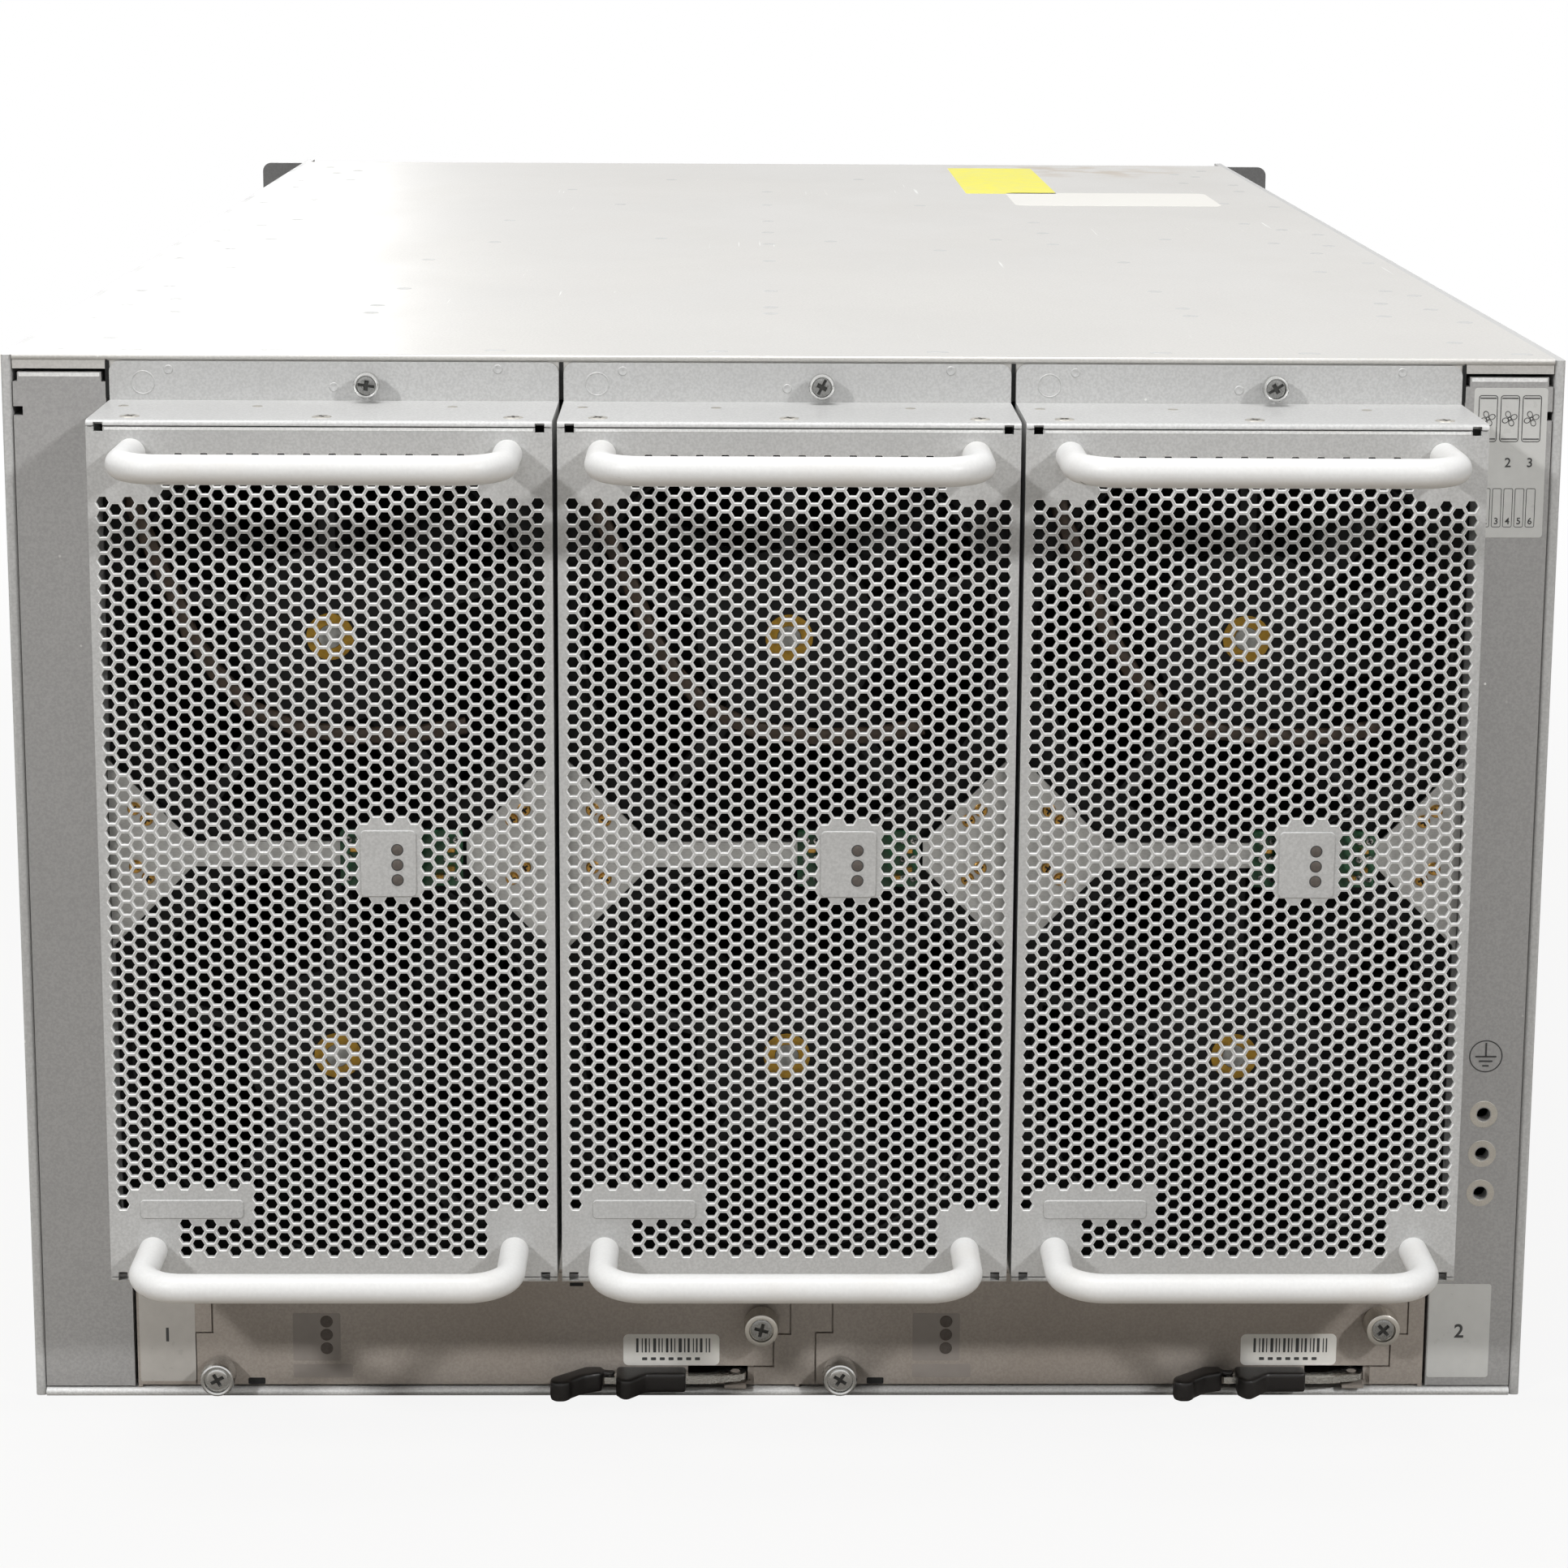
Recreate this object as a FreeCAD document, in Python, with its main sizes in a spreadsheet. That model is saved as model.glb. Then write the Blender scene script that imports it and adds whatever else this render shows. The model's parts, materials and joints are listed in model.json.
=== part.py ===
"""Modular chassis switch, seven rack units high, with its fan trays and system controllers at the rear.

Millimetres, +Z up. The origin is the centre of the chassis underside. The rear, with the fan trays, faces -Y;
the front, with the rack ears and the card slots, faces +Y.
"""

import FreeCAD, Part
import math
import os
import re

import Sketcher

DOC = FreeCAD.newDocument("ModularChassisSwitch")
SHEET = DOC.addObject("Spreadsheet::Sheet", "Sizes")

SIZES = [
    # Chassis
    ("chassis_height", 310.0, "seven rack units less the clearance to the next unit"),
    ("chassis_depth", 712.0, "length of the top cover"),
    ("ear_setback", 24.0, "how far the front frame stands in front of the cover"),
    ("side_sheet", 3.0, "hemmed side panel"),
    ("cover_sheet", 1.8, "top cover"),
    ("pan_sheet", 2.4, "base pan"),
    ("side_drop", 0.6, "side panel top below the cover top"),
    ("cover_bead", 0.9, "radius of the cover's rolled rear edge"),
    ("pan_bead", 1.2, "radius of the base pan's rolled rear edge"),
    ("joint_gap", 0.3, "clearance between neighbouring sheets"),
    ("slide_gap", 0.2, "clearance between a module and what it slides on"),
    ("fold_sheet", 1.5, "folded inner sheet"),
    ("overcut", 1.0, "how far a cut runs past the material"),
    ("side_flange", 12.0, "upturned edge of the base pan"),
    ("edge_radius", 1.0, "rounded sheet edge"),
    # Rear posts
    ("post_width_left", 26.0, "width of the left rear post"),
    ("post_width_right", 24.8, "width of the right rear post"),
    ("post_base", 3.0, "height of a post's lower edge"),
    ("post_drop", 5.4, "post top below the cover top"),
    ("post_return", 25.0, "depth of a post's folded sides"),
    ("lip_gap", 1.0, "gap between a post and the cover's lip above it"),
    ("post_notch", 1.3, "relief at a post corner"),
    ("post_notch_depth", 2.7, "height of the relief"),
    ("post_slot", 2.6, "square slot in the post edge"),
    ("post_slot_drop", 11.0, "slot centre below the post top"),
    # Earthing holes
    ("earth_radius", 2.0, "thread radius of an earthing hole"),
    ("earth_nut_radius", 4.0, "pressed nut behind an earthing hole"),
    ("earth_nut", 4.0, "length of the pressed nut"),
    ("earth_top", 87.2, "height of the top earthing hole"),
    ("earth_pitch", 12.1, "spacing of the earthing holes"),
    ("earth_inset", 14.1, "hole centre from the outside of the chassis"),
    # Rack ears
    ("rack_width", 482.6, "width over the rack ears"),
    ("ear_reach", 21.6, "how far an ear stands out from its side panel"),
    ("ear_sheet", 2.5, "ear thickness"),
    ("ear_drop", 2.2, "ear top below the cover top"),
    ("ear_base", 3.0, "height of the ear's lower edge"),
    ("ear_radius", 4.0, "ear corner radius"),
    ("ear_flange", 40.0, "flange that lies on the side panel"),
    ("rack_hole_inset", 8.75, "slot centre from the outer edge of the ear"),
    ("rack_hole_first", 21.65, "lowest and highest ear slot from the bottom and the top"),
    ("rack_hole_width", 10.3, "length of an ear slot over its round ends"),
    ("rack_hole_height", 6.8, "height of an ear slot"),
    # Lower bay
    ("bay_gap", 1.0, "gap between a rear post and the bays"),
    ("bay_sheet", 1.2, "bay flanges and walls"),
    ("shelf_top", 39.6, "height of the shelf that carries the fan trays"),
    ("shelf_depth", 310.0, "depth of the shelf"),
    ("bay_depth", 150.0, "depth of a rear bay"),
    ("backing_sheet", 1.5, "screw backing strip"),
    ("rail_inset", 7.8, "rail under a fan tray from the side of the tray"),
    ("step_height", 19.8, "height of the step in the bay flanges"),
    ("step_width", 5.0, "width of the step"),
    ("seam", 0.5, "gap between a controller faceplate and a flange"),
    ("catch_width", 8.5, "lever catch tab"),
    ("catch_top", 8.6, "top of the lever catch tab"),
    # System controllers
    ("flange_left", 17.4, "bay flange left of controller 1"),
    ("flange_middle", 12.9, "bay flange between the controllers"),
    ("flange_right", 10.1, "bay flange right of controller 2"),
    ("controller_base", 3.4, "height of a controller's floor"),
    ("controller_sheet", 1.0, "controller sheet"),
    ("controller_inset_left", 12.0, "controller body from the faceplate edge"),
    ("controller_inset_right", 9.5, "controller body from the faceplate edge"),
    ("controller_wall", 26.0, "height of a controller's side walls"),
    ("runner_width", 4.0, "floor runner"),
    ("board_height", 14.0, "height of the controller board"),
    ("board_sheet", 1.6, "circuit board"),
    ("standoff_radius", 2.5, "board standoff"),
    ("lever_slot_top", 9.2, "faceplate edge over the lever"),
    ("lever_slot_left", 14.0, "slot left of the lever pivot"),
    ("lever_slot_right", 5.0, "slot right of the lever pivot"),
    # Ejector lever
    ("pivot_inset", 11.0, "lever pivot from the faceplate's right edge"),
    ("pivot_radius", 1.4, "lever pin"),
    ("pin_fit", 0.05, "radial clearance on a pin"),
    ("arm_sheet", 2.0, "lever thickness"),
    ("arm_base", 5.6, "height of the lever's underside"),
    ("arm_end", 3.2, "lever end radius"),
    ("arm_neck", 8.0, "tapered neck of the lever beside its pin"),
    ("arm_back", 1.4, "lever's inner edge in front of the faceplate"),
    ("arm_front", 5.0, "lever's outer edge in front of the faceplate"),
    ("grip_start", 14.5, "grip from the pivot"),
    ("grip_length", 20.5, "grip length"),
    ("grip_back", 1.0, "grip's inner face in front of the faceplate"),
    ("grip_front", 7.0, "grip's outer face in front of the faceplate"),
    ("grip_hook", 12.2, "tip of the finger hook in front of the faceplate"),
    ("grip_base", 3.6, "height of the grip's underside"),
    ("grip_height", 6.0, "grip height"),
    ("hook_width", 6.0, "finger hook"),
    ("link_length", 3.5, "bare lever between grip and trigger"),
    ("trigger_pin", 0.8, "trigger pin radius"),
    ("trigger_tongue", 1.2, "thickness of the trigger tongue"),
    ("trigger_neck", 2.0, "width of the neck behind the tongue"),
    ("trigger_gap", 0.6, "gap between the lever's end and the trigger's lobe"),
    ("trigger_length", 15.2, "trigger length"),
    ("trigger_flare", 1.0, "how far the lobe widens from its root to its waist"),
    ("bulb_radius", 3.2, "rounded trigger end"),
    ("bulb_front", 10.6, "bulb centre in front of the faceplate"),
    # Thumb screws of the controllers
    ("thumb_radius", 5.1, "screw head"),
    ("thumb_length", 8.0, "screw head length"),
    ("thumb_recess", 3.3, "drive recess radius"),
    ("thumb_recess_depth", 1.4, "drive recess depth"),
    ("shank_radius", 2.0, "screw shank"),
    ("shank_fit", 0.3, "radial clearance round a shank"),
    ("shank_length", 9.0, "shank behind the panel"),
    ("low_screw_inset", 6.9, "lower screw from the faceplate's left edge"),
    ("low_screw_height", 7.9, "height of the lower screw"),
    ("high_screw_inset", 3.4, "upper screw from the faceplate's right edge"),
    ("high_screw_height", 23.4, "height of the upper screw"),
    # Fan trays
    ("tray_gap", 1.4, "gap between neighbouring fan trays"),
    ("tray_rise", 11.6, "tray box underside above the shelf"),
    ("tray_drop", 13.0, "tray box top below the cover top"),
    ("tray_reach", 40.0, "how far a tray stands out of the rear"),
    ("tray_sheet", 1.5, "tray box sheet"),
    ("tray_flange_sheet", 1.2, "tray flange"),
    ("tray_flange_gap", 0.3, "flange top below the cover's rolled edge"),
    ("flange_radius", 3.0, "flange corner radius"),
    ("lip_radius", 1.4, "rounded front edge of the tray box"),
    ("face_sheet", 1.5, "faceplate"),
    ("face_gap", 0.4, "slit between faceplate and box"),
    ("relief_size", 2.6, "corner relief"),
    ("relief_inset", 2.0, "corner relief from the side"),
    ("tray_screw_shift", 9.5, "captive screw right of the tray centre"),
    ("tray_screw_rise", 5.0, "captive screw above the tray box top"),
    ("tray_screw_radius", 3.7, "captive screw head"),
    ("tray_screw_stand", 3.0, "neck between flange and head"),
    ("tray_screw_head", 3.2, "head length"),
    # Grille, LED plate and label strip of a faceplate
    ("grille_margin", 10.84, "outer column of openings from the side of the tray"),
    ("grille_web", 3.4, "web between two openings"),
    ("grille_end", 30.0, "least distance of an outer column's last opening from the faceplate's end"),
    ("grille_lift", 2.1, "middle of the grille above the middle of the tray"),
    ("led_plate_shift", 17.0, "LED plate right of the tray centre"),
    ("led_plate_width", 15.8, "LED plate width"),
    ("led_plate_height", 18.9, "LED plate height"),
    ("led_drop", 0.7, "middle LED below the middle of the tray"),
    ("led_pitch", 4.3, "spacing of the LEDs"),
    ("led_shift", 19.5, "LEDs right of the tray centre"),
    ("led_radius", 1.5, "LED window"),
    ("led_fit", 0.2, "radial clearance round an LED"),
    ("raised", 0.5, "height of the raised plates"),
    ("strip_inset", 23.2, "middle of the label strip from the left side of the tray"),
    ("strip_width", 29.0, "label strip width"),
    ("strip_height", 5.6, "label strip height"),
    ("strip_rise", 20.0, "middle of the label strip above the faceplate's lower edge"),
    # Handles
    ("handle_inset", 12.0, "handle foot from the side of the tray"),
    ("handle_stand", 28.0, "bar centre in front of the faceplate"),
    ("handle_rod", 4.0, "rod radius"),
    ("handle_bend", 12.0, "bend radius"),
    ("handle_rise", 9.6, "lower handle above the tray box underside"),
    ("handle_drop", 9.0, "upper handle below the tray box top"),
    # Fans
    ("fan_clearance", 0.6, "fan frame from the top or bottom sheet of the tray"),
    ("fan_gap", 0.4, "gap between the two fan frames"),
    ("fan_depth", 76.0, "fan frame depth"),
    ("fan_recess", 14.0, "fan frame behind the outer face of the tray"),
    ("fan_wall", 2.3, "thinnest wall of the fan frame round its bore"),
    ("motor_radius", 25.0, "motor cup and rotor hub"),
    ("motor_cup", 6.0, "motor cup depth"),
    ("strut_width", 4.5, "strut between cup and frame"),
    ("strut_root", 1.0, "how far a strut runs into the frame"),
    ("bearing_radius", 8.0, "bearing tube"),
    ("bearing_length", 22.0, "bearing tube length"),
    ("shaft_radius", 2.0, "rotor shaft"),
    ("hub_gap", 0.8, "hub behind the motor cup"),
    ("hub_length", 34.0, "hub length"),
    ("hub_wall", 3.0, "hub wall"),
    ("blade_sheet", 2.2, "blade thickness"),
    ("blade_chord", 34.0, "blade chord"),
    ("blade_pitch", 38.0, "blade pitch in degrees"),
    ("blade_gap", 1.5, "blade tip clearance"),
    # Bracket and board behind the LED plate
    ("bracket_recess", 8.0, "bracket behind the outer face of the tray"),
    ("bracket_sheet", 1.0, "bracket thickness"),
    ("bracket_height", 54.0, "bracket height at the tray wall"),
    ("bracket_reach", 23.0, "bracket width"),
    ("arm_height", 7.2, "bracket arm height"),
    ("arm_tip", 8.0, "arm end right of the tray centre"),
    ("led_board_left", 3.0, "LED board's left edge from the tray centre"),
    ("led_board_width", 34.0, "LED board width"),
    ("led_board_height", 16.0, "LED board height"),
    # Fabric modules, line cards, supervisors and power supplies
    ("fabric_margin", 61.7, "outer fabric module from the side panel"),
    ("fabric_sheet", 3.0, "fabric module thickness"),
    ("fabric_depth", 150.0, "fabric module depth"),
    ("card_headroom", 10.0, "top line card's pitch below the cover top"),
    ("supervisor_room", 34.5, "lowest line card above the supervisor shelf"),
    ("card_gap", 8.0, "cards and supervisors from the inner end of the rear shelf"),
    ("card_face", 2.0, "faceplate of a front module"),
    ("card_floor", 1.5, "line card floor"),
    ("card_wall", 9.0, "line card side wall"),
    ("ledge_width", 6.0, "guide ledge on a side panel"),
    ("front_recess", 6.0, "front modules behind the ears"),
    ("supervisor_shelf_top", 87.5, "height of the supervisor shelf"),
    ("power_gap", 78.0, "power supplies from the inner end of the cards"),
    ("front_gap", 0.8, "gap between neighbouring front modules"),
]
GRILLE_COLUMNS = 9
BLADES = 7
STRUTS = 5
TRAYS = 3
CONTROLLERS = 2
FABRIC_MODULES = 6
LINE_CARDS = 4
SUPERVISORS = 2
POWER_SUPPLIES = 4
EARTH_HOLES = 3
EAR_HOLES = 4

for row, (alias, value, meaning) in enumerate(SIZES, 1):
    SHEET.set(f"A{row}", meaning)
    SHEET.set(f"B{row}", str(value))
    SHEET.setAlias(f"B{row}", alias)
DOC.recompute()

# Sizes that follow from the sheet's
DERIVED = {
    "chassis_width": "(rack_width - 2 * ear_reach)",
    "rack_hole_span": "(rack_width - 2 * rack_hole_inset)",
    "rack_hole_pitch": f"((chassis_height - 2 * rack_hole_first) / {EAR_HOLES - 1})",
    "bay_left": "(chassis_width / 2 - side_sheet - joint_gap - post_width_left - bay_gap)",
    "bay_right": "(chassis_width / 2 - side_sheet - joint_gap - post_width_right - bay_gap)",
    "tray_pitch": f"((bay_left + bay_right - 2 * slide_gap + tray_gap) / {TRAYS})",
    "tray_width": "(tray_pitch - tray_gap)",
    "tray_base": "(shelf_top + tray_rise)",
    "tray_top": "(chassis_height - tray_drop)",
    "tray_middle": "((tray_base + tray_top) / 2)",
    "tray_screw_height": "(tray_top + tray_screw_rise)",
    "controller_width": "((bay_left + bay_right - flange_left - flange_middle - flange_right)"
                        f" / {CONTROLLERS})",
    "controller_pitch": "(controller_width + flange_middle)",
    "face_base": "(tray_base + tray_sheet + face_gap)",
    "face_top": "(tray_top - tray_sheet - face_gap)",
    "grille_column": f"((tray_width - 2 * grille_margin) / {GRILLE_COLUMNS - 1})",
    "grille_pitch": "(grille_column * 2 / sqrt(3))",
    "grille_corner": "((grille_pitch - grille_web) / sqrt(3))",
    "grille_rows": "(floor((face_top - face_base - 2 * grille_end) / grille_pitch) + 1)",
    "grille_centre": "(tray_middle + grille_lift)",
    "led_centre": "(tray_middle - led_drop)",
    "strip_shift": "(tray_width / 2 - strip_inset)",
    "strip_centre": "(face_base + strip_rise)",
    "handle_span": "(tray_width - 2 * handle_inset)",
    "handle_low": "(tray_base + handle_rise)",
    "handle_high": "(tray_top - handle_drop)",
    "fan_width": "(tray_width - 2 * tray_sheet - 2 * joint_gap)",
    "fan_height": "((tray_top - tray_base - 2 * tray_sheet - 2 * fan_clearance - fan_gap) / 2)",
    "fan_pitch": "(fan_height + fan_gap)",
    "fan_bore": "(min(fan_width; fan_height) / 2 - fan_wall)",
    "fabric_pitch": f"((chassis_width - 2 * side_sheet - 2 * fabric_margin) / {FABRIC_MODULES - 1})",
    "shelf_end": "(shelf_depth - chassis_depth / 2)",
    "card_base": "(supervisor_shelf_top + supervisor_room)",
    "card_pitch": f"((chassis_height - card_headroom - card_base) / {LINE_CARDS})",
    "card_inner": "(shelf_end + card_gap)",
    "power_inner": "(card_inner + power_gap)",
}
WORDS = re.compile(r"\b(" + "|".join(alias for alias, _, _ in SIZES) + r")\b")
DERIVED_WORDS = re.compile(r"\b(" + "|".join(DERIVED) + r")\b")
TURN_TO_X = FreeCAD.Rotation(FreeCAD.Vector(0, 1, 0), 90)
TURN_TO_Y = FreeCAD.Rotation(FreeCAD.Vector(1, 0, 0), -90)
NODES = {}

# Planes that many pieces share
REAR = "(-chassis_depth / 2)"
FRONT = "(chassis_depth / 2 + ear_setback)"
INSIDE = "(chassis_width / 2 - side_sheet)"
BETWEEN_SIDES = (f"-{INSIDE} + joint_gap", f"{INSIDE} - joint_gap")
BETWEEN_SIDES_SPAN = f"(2 * {INSIDE} - 2 * joint_gap)"
UNDER_COVER = "(chassis_height - cover_sheet)"
TRAY_FACE = f"({REAR} - tray_reach)"
BAY_CENTRE = "((bay_right - bay_left) / 2)"
SHELF_UNDER = "(shelf_top - bay_sheet)"
CONTROLLER_TOP = f"({SHELF_UNDER} - slide_gap)"
FAN_FACE = f"({TRAY_FACE} + fan_recess)"
MODULE_FACE = f"({FRONT} - front_recess)"


def linked(formula):
    """A formula in the sheet's words, as an expression on the sheet."""
    text = str(formula)
    while DERIVED_WORDS.search(text):
        text = DERIVED_WORDS.sub(lambda word: DERIVED[word[0]], text)
    return WORDS.sub(r"Sizes.\1", text)


def bind(item, **formulas):
    for prop, formula in formulas.items():
        item.setExpression(prop, linked(formula))


def place(item, x="0", y="0", z="0", turn=None):
    if turn:
        item.Placement = FreeCAD.Placement(FreeCAD.Vector(), turn)
    for axis, formula in (("x", x), ("y", y), ("z", z)):
        item.setExpression(f"Placement.Base.{axis}", linked(formula))
    return item


def block(x, y, z):
    """A box between the low and high formula on each axis."""
    item = DOC.addObject("Part::Box", "Block")
    bind(
        item,
        Length=f"({x[1]}) - ({x[0]})",
        Width=f"({y[1]}) - ({y[0]})",
        Height=f"({z[1]}) - ({z[0]})",
    )
    return place(item, x[0], y[0], z[0])


def rod(radius, length, x, y, z, turn=None):
    """A cylinder that starts at a point and runs along +Z, or along the axis that turn gives."""
    item = DOC.addObject("Part::Cylinder", "Rod")
    bind(item, Radius=radius, Height=length)
    return place(item, x, y, z, turn)


def fuse(pieces):
    item = DOC.addObject("Part::MultiFuse", "Fuse")
    item.Shapes = pieces
    item.Refine = True
    return item


def cut(base, tools):
    item = DOC.addObject("Part::Cut", "Cut")
    item.Base = base
    item.Tool = tools[0] if len(tools) == 1 else fuse(tools)
    return item


def group(pieces):
    """Separate solids of one kind in one node."""
    item = DOC.addObject("Part::Compound", "Group")
    item.Links = pieces
    return item


def repeat(name, item, spots):
    """One node for each place, all from the same piece."""
    for number, x in enumerate(spots, 1):
        node(f"{name}_{number}", place(group([item]), x))


def rounded(base, alias, chosen):
    """Rounds the edges that chosen picks from an edge and the piece's middle, with the sheet's radius."""
    DOC.recompute()
    radius = float(SHEET.get(alias))
    item = DOC.addObject("Part::Fillet", "Rounded")
    item.Base = base
    middle = base.Shape.BoundBox.Center
    edges = enumerate(base.Shape.Edges, 1)
    item.Edges = [(number, radius, radius) for number, edge in edges if chosen(edge, middle)]
    return item


def node(label, item):
    item.Label = label
    NODES[label] = item
    return item


def new_body(name, x="0", y="0", z="0"):
    return place(DOC.addObject("PartDesign::Body", name), x, y, z)


def new_sketch(body, role):
    """A sketch on one of a body's origin planes."""
    sketch = body.newObject("Sketcher::SketchObject", "Outline")
    plane = next(p for p in body.Origin.OriginFeatures if p.Role == role)
    sketch.AttachmentSupport = (plane, [""])
    sketch.MapMode = "FlatFace"
    return sketch


def add_loop(sketch, points):
    """A closed loop of lines whose corners are held at formulas for x and y."""
    first = sketch.GeometryCount
    count = len(points)
    spots = [2 * math.pi * i / count for i in range(count + 1)]
    for a, b in zip(spots, spots[1:]):
        start = FreeCAD.Vector(math.cos(a), math.sin(a), 0)
        end = FreeCAD.Vector(math.cos(b), math.sin(b), 0)
        sketch.addGeometry(Part.LineSegment(start, end))
    for i, (x, y) in enumerate(points):
        after = first + (i + 1) % count
        sketch.addConstraint(Sketcher.Constraint("Coincident", first + i, 2, after, 1))
        for kind, formula, start in (("DistanceX", x, math.cos), ("DistanceY", y, math.sin)):
            hold = Sketcher.Constraint(kind, -1, 1, first + i, 1, start(spots[i]))
            index = sketch.addConstraint(hold)
            sketch.setExpression(f"Constraints[{index}]", linked(formula))


def add_circle(sketch, x, y, radius):
    index = sketch.addGeometry(Part.Circle(FreeCAD.Vector(), FreeCAD.Vector(0, 0, 1), 1))
    holds = (("DistanceX", x), ("DistanceY", y))
    for kind, formula in holds:
        held = sketch.addConstraint(Sketcher.Constraint(kind, -1, 1, index, 3, 0))
        sketch.setExpression(f"Constraints[{held}]", linked(formula))
    held = sketch.addConstraint(Sketcher.Constraint("Radius", index, 1))
    sketch.setExpression(f"Constraints[{held}]", linked(radius))


def pad(body, sketch, length, towards_sketch_back=False):
    item = body.newObject("PartDesign::Pad", "Pad")
    item.Profile = sketch
    item.Reversed = towards_sketch_back
    bind(item, Length=length)
    return item


def pocket_through(body, sketch):
    item = body.newObject("PartDesign::Pocket", "Pocket")
    item.Profile = sketch
    item.Type = "ThroughAll"
    item.Midplane = True
    return item


def rectangle(x, y):
    return [(x[0], y[0]), (x[1], y[0]), (x[1], y[1]), (x[0], y[1])]


def along(edge, axis):
    """True for a straight edge along x, y or z."""
    if edge.Curve.TypeId != "Part::GeomLine":
        return False
    return abs(abs(getattr(edge.Curve.Direction, axis)) - 1) < 1e-6


# Chassis

def base_pan():
    plate = block(BETWEEN_SIDES, (REAR, FRONT), ("0", "pan_sheet"))
    bead = rod("pan_bead", BETWEEN_SIDES_SPAN, BETWEEN_SIDES[0], REAR, "pan_bead", TURN_TO_X)
    edge = ("pan_sheet", "side_flange")
    run = (f"{REAR} + post_return + joint_gap", FRONT)
    left = block((BETWEEN_SIDES[0], f"{BETWEEN_SIDES[0]} + fold_sheet"), run, edge)
    right = block((f"{BETWEEN_SIDES[1]} - fold_sheet", BETWEEN_SIDES[1]), run, edge)
    node("base_pan", fuse([plate, bead, left, right]))


def shank_hole(x, z):
    """A clearance hole through the rear sheets for a captive screw."""
    return rod("shank_radius + shank_fit", "2 * post_return", x, f"{REAR} - post_return", z, TURN_TO_Y)


def tray_x(tray):
    return f"({BAY_CENTRE} + {tray - (TRAYS + 1) // 2} * tray_pitch)"


def top_cover():
    plate = block(BETWEEN_SIDES, (REAR, "chassis_depth / 2"), (UNDER_COVER, "chassis_height"))
    bead = rod("cover_bead", BETWEEN_SIDES_SPAN, BETWEEN_SIDES[0], REAR, "chassis_height - cover_bead",
               TURN_TO_X)
    joggle = block(BETWEEN_SIDES, ("chassis_depth / 2 - cover_sheet", FRONT),
                   (f"{UNDER_COVER} - cover_sheet", UNDER_COVER))
    half = f"{TRAYS} * tray_pitch / 2"
    hanger = block((f"{BAY_CENTRE} - {half}", f"{BAY_CENTRE} + {half}"),
                   (f"{REAR} + slide_gap", f"{REAR} + slide_gap + fold_sheet"),
                   ("tray_top + joint_gap", UNDER_COVER))
    lip = ("chassis_height - post_drop + lip_gap", UNDER_COVER)
    lips = [block(x, (REAR, f"{REAR} + cover_sheet"), lip)
            for x in ((BETWEEN_SIDES[0], "-bay_left - bay_gap"), ("bay_right + bay_gap", BETWEEN_SIDES[1]))]
    holes = [
        shank_hole(f"{tray_x(tray)} + tray_screw_shift", "tray_screw_height")
        for tray in range(1, TRAYS + 1)
    ]
    node("top_cover", cut(fuse([plate, bead, joggle, hanger] + lips), holes))


def card_floor_height(card):
    return f"(card_base + {card - 1} * card_pitch)"


def side_panel(side, name):
    """A side panel with the guide ledges for the front modules."""
    outer, inner = f"{side} * chassis_width / 2", f"{side} * {INSIDE}"
    x = (outer, inner) if side < 0 else (inner, outer)
    sheet = block(x, (REAR, FRONT), ("0", "chassis_height - side_drop"))
    sheet = rounded(sheet, "edge_radius", lambda e, middle: along(e, "z") and e.CenterOfMass.y < middle.y)
    ledge_end = f"{side} * ({INSIDE} - ledge_width)"
    x = (inner, ledge_end) if side < 0 else (ledge_end, inner)
    seats = ["supervisor_shelf_top - card_floor"]
    seats += [card_floor_height(card) for card in range(1, LINE_CARDS + 1)]
    run = ("card_inner", f"{MODULE_FACE} - card_face - joint_gap")
    ledges = [block(x, run, (f"{z} - slide_gap - card_floor", f"{z} - slide_gap")) for z in seats]
    node(name, fuse([sheet] + ledges))


def rear_post(side, name):
    """A folded post beside the bays, notched at its top and with a slot in its outer edge."""
    outer = f"({INSIDE} - joint_gap)"
    inner = f"({outer} - post_width_left)" if side < 0 else f"({outer} - post_width_right)"

    def across(a, b):
        return (f"{side} * ({a})", f"{side} * ({b})") if side > 0 else (f"-({b})", f"-({a})")

    rise = ("post_base", "chassis_height - post_drop")
    face = block(across(inner, outer), (REAR, f"{REAR} + fold_sheet"), rise)
    deep = (REAR, f"{REAR} + post_return")
    sides = [
        block(across(inner, f"{inner} + fold_sheet"), deep, rise),
        block(across(f"{outer} - fold_sheet", outer), deep, rise),
    ]
    depth = (f"{REAR} - post_return", f"{REAR} + 2 * post_return")
    top = ("chassis_height - post_drop - post_notch_depth", "chassis_height")
    slot = ("chassis_height - post_drop - post_slot_drop - post_slot / 2",
            "chassis_height - post_drop - post_slot_drop + post_slot / 2")
    tools = [
        block(across(f"{inner} - post_notch", f"{inner} + post_notch"), depth, top),
        block(across(f"{outer} - post_notch", f"{outer} + post_notch"), depth, top),
        block(across(f"{outer} - post_slot", f"{outer} + post_slot"), depth, slot),
    ]
    solid = [face] + sides
    if side > 0:
        x = "chassis_width / 2 - earth_inset"
        heights = [f"earth_top - {hole} * earth_pitch" for hole in range(EARTH_HOLES)]
        solid += [rod("earth_nut_radius", "earth_nut", x, REAR, z, TURN_TO_Y) for z in heights]
        tools += [rod("earth_radius", "2 * post_return", x, f"{REAR} - post_return", z, TURN_TO_Y)
                  for z in heights]
    node(name, cut(fuse(solid), tools))


def controller_left(number):
    """The left edge of a controller's faceplate below the step."""
    return f"({number - 1} * controller_pitch + flange_left - bay_left)"


def controller_right(number):
    return f"({controller_left(number)} + controller_width)"


def lever_pivot(number):
    return f"({controller_right(number)} - pivot_inset)"


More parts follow.
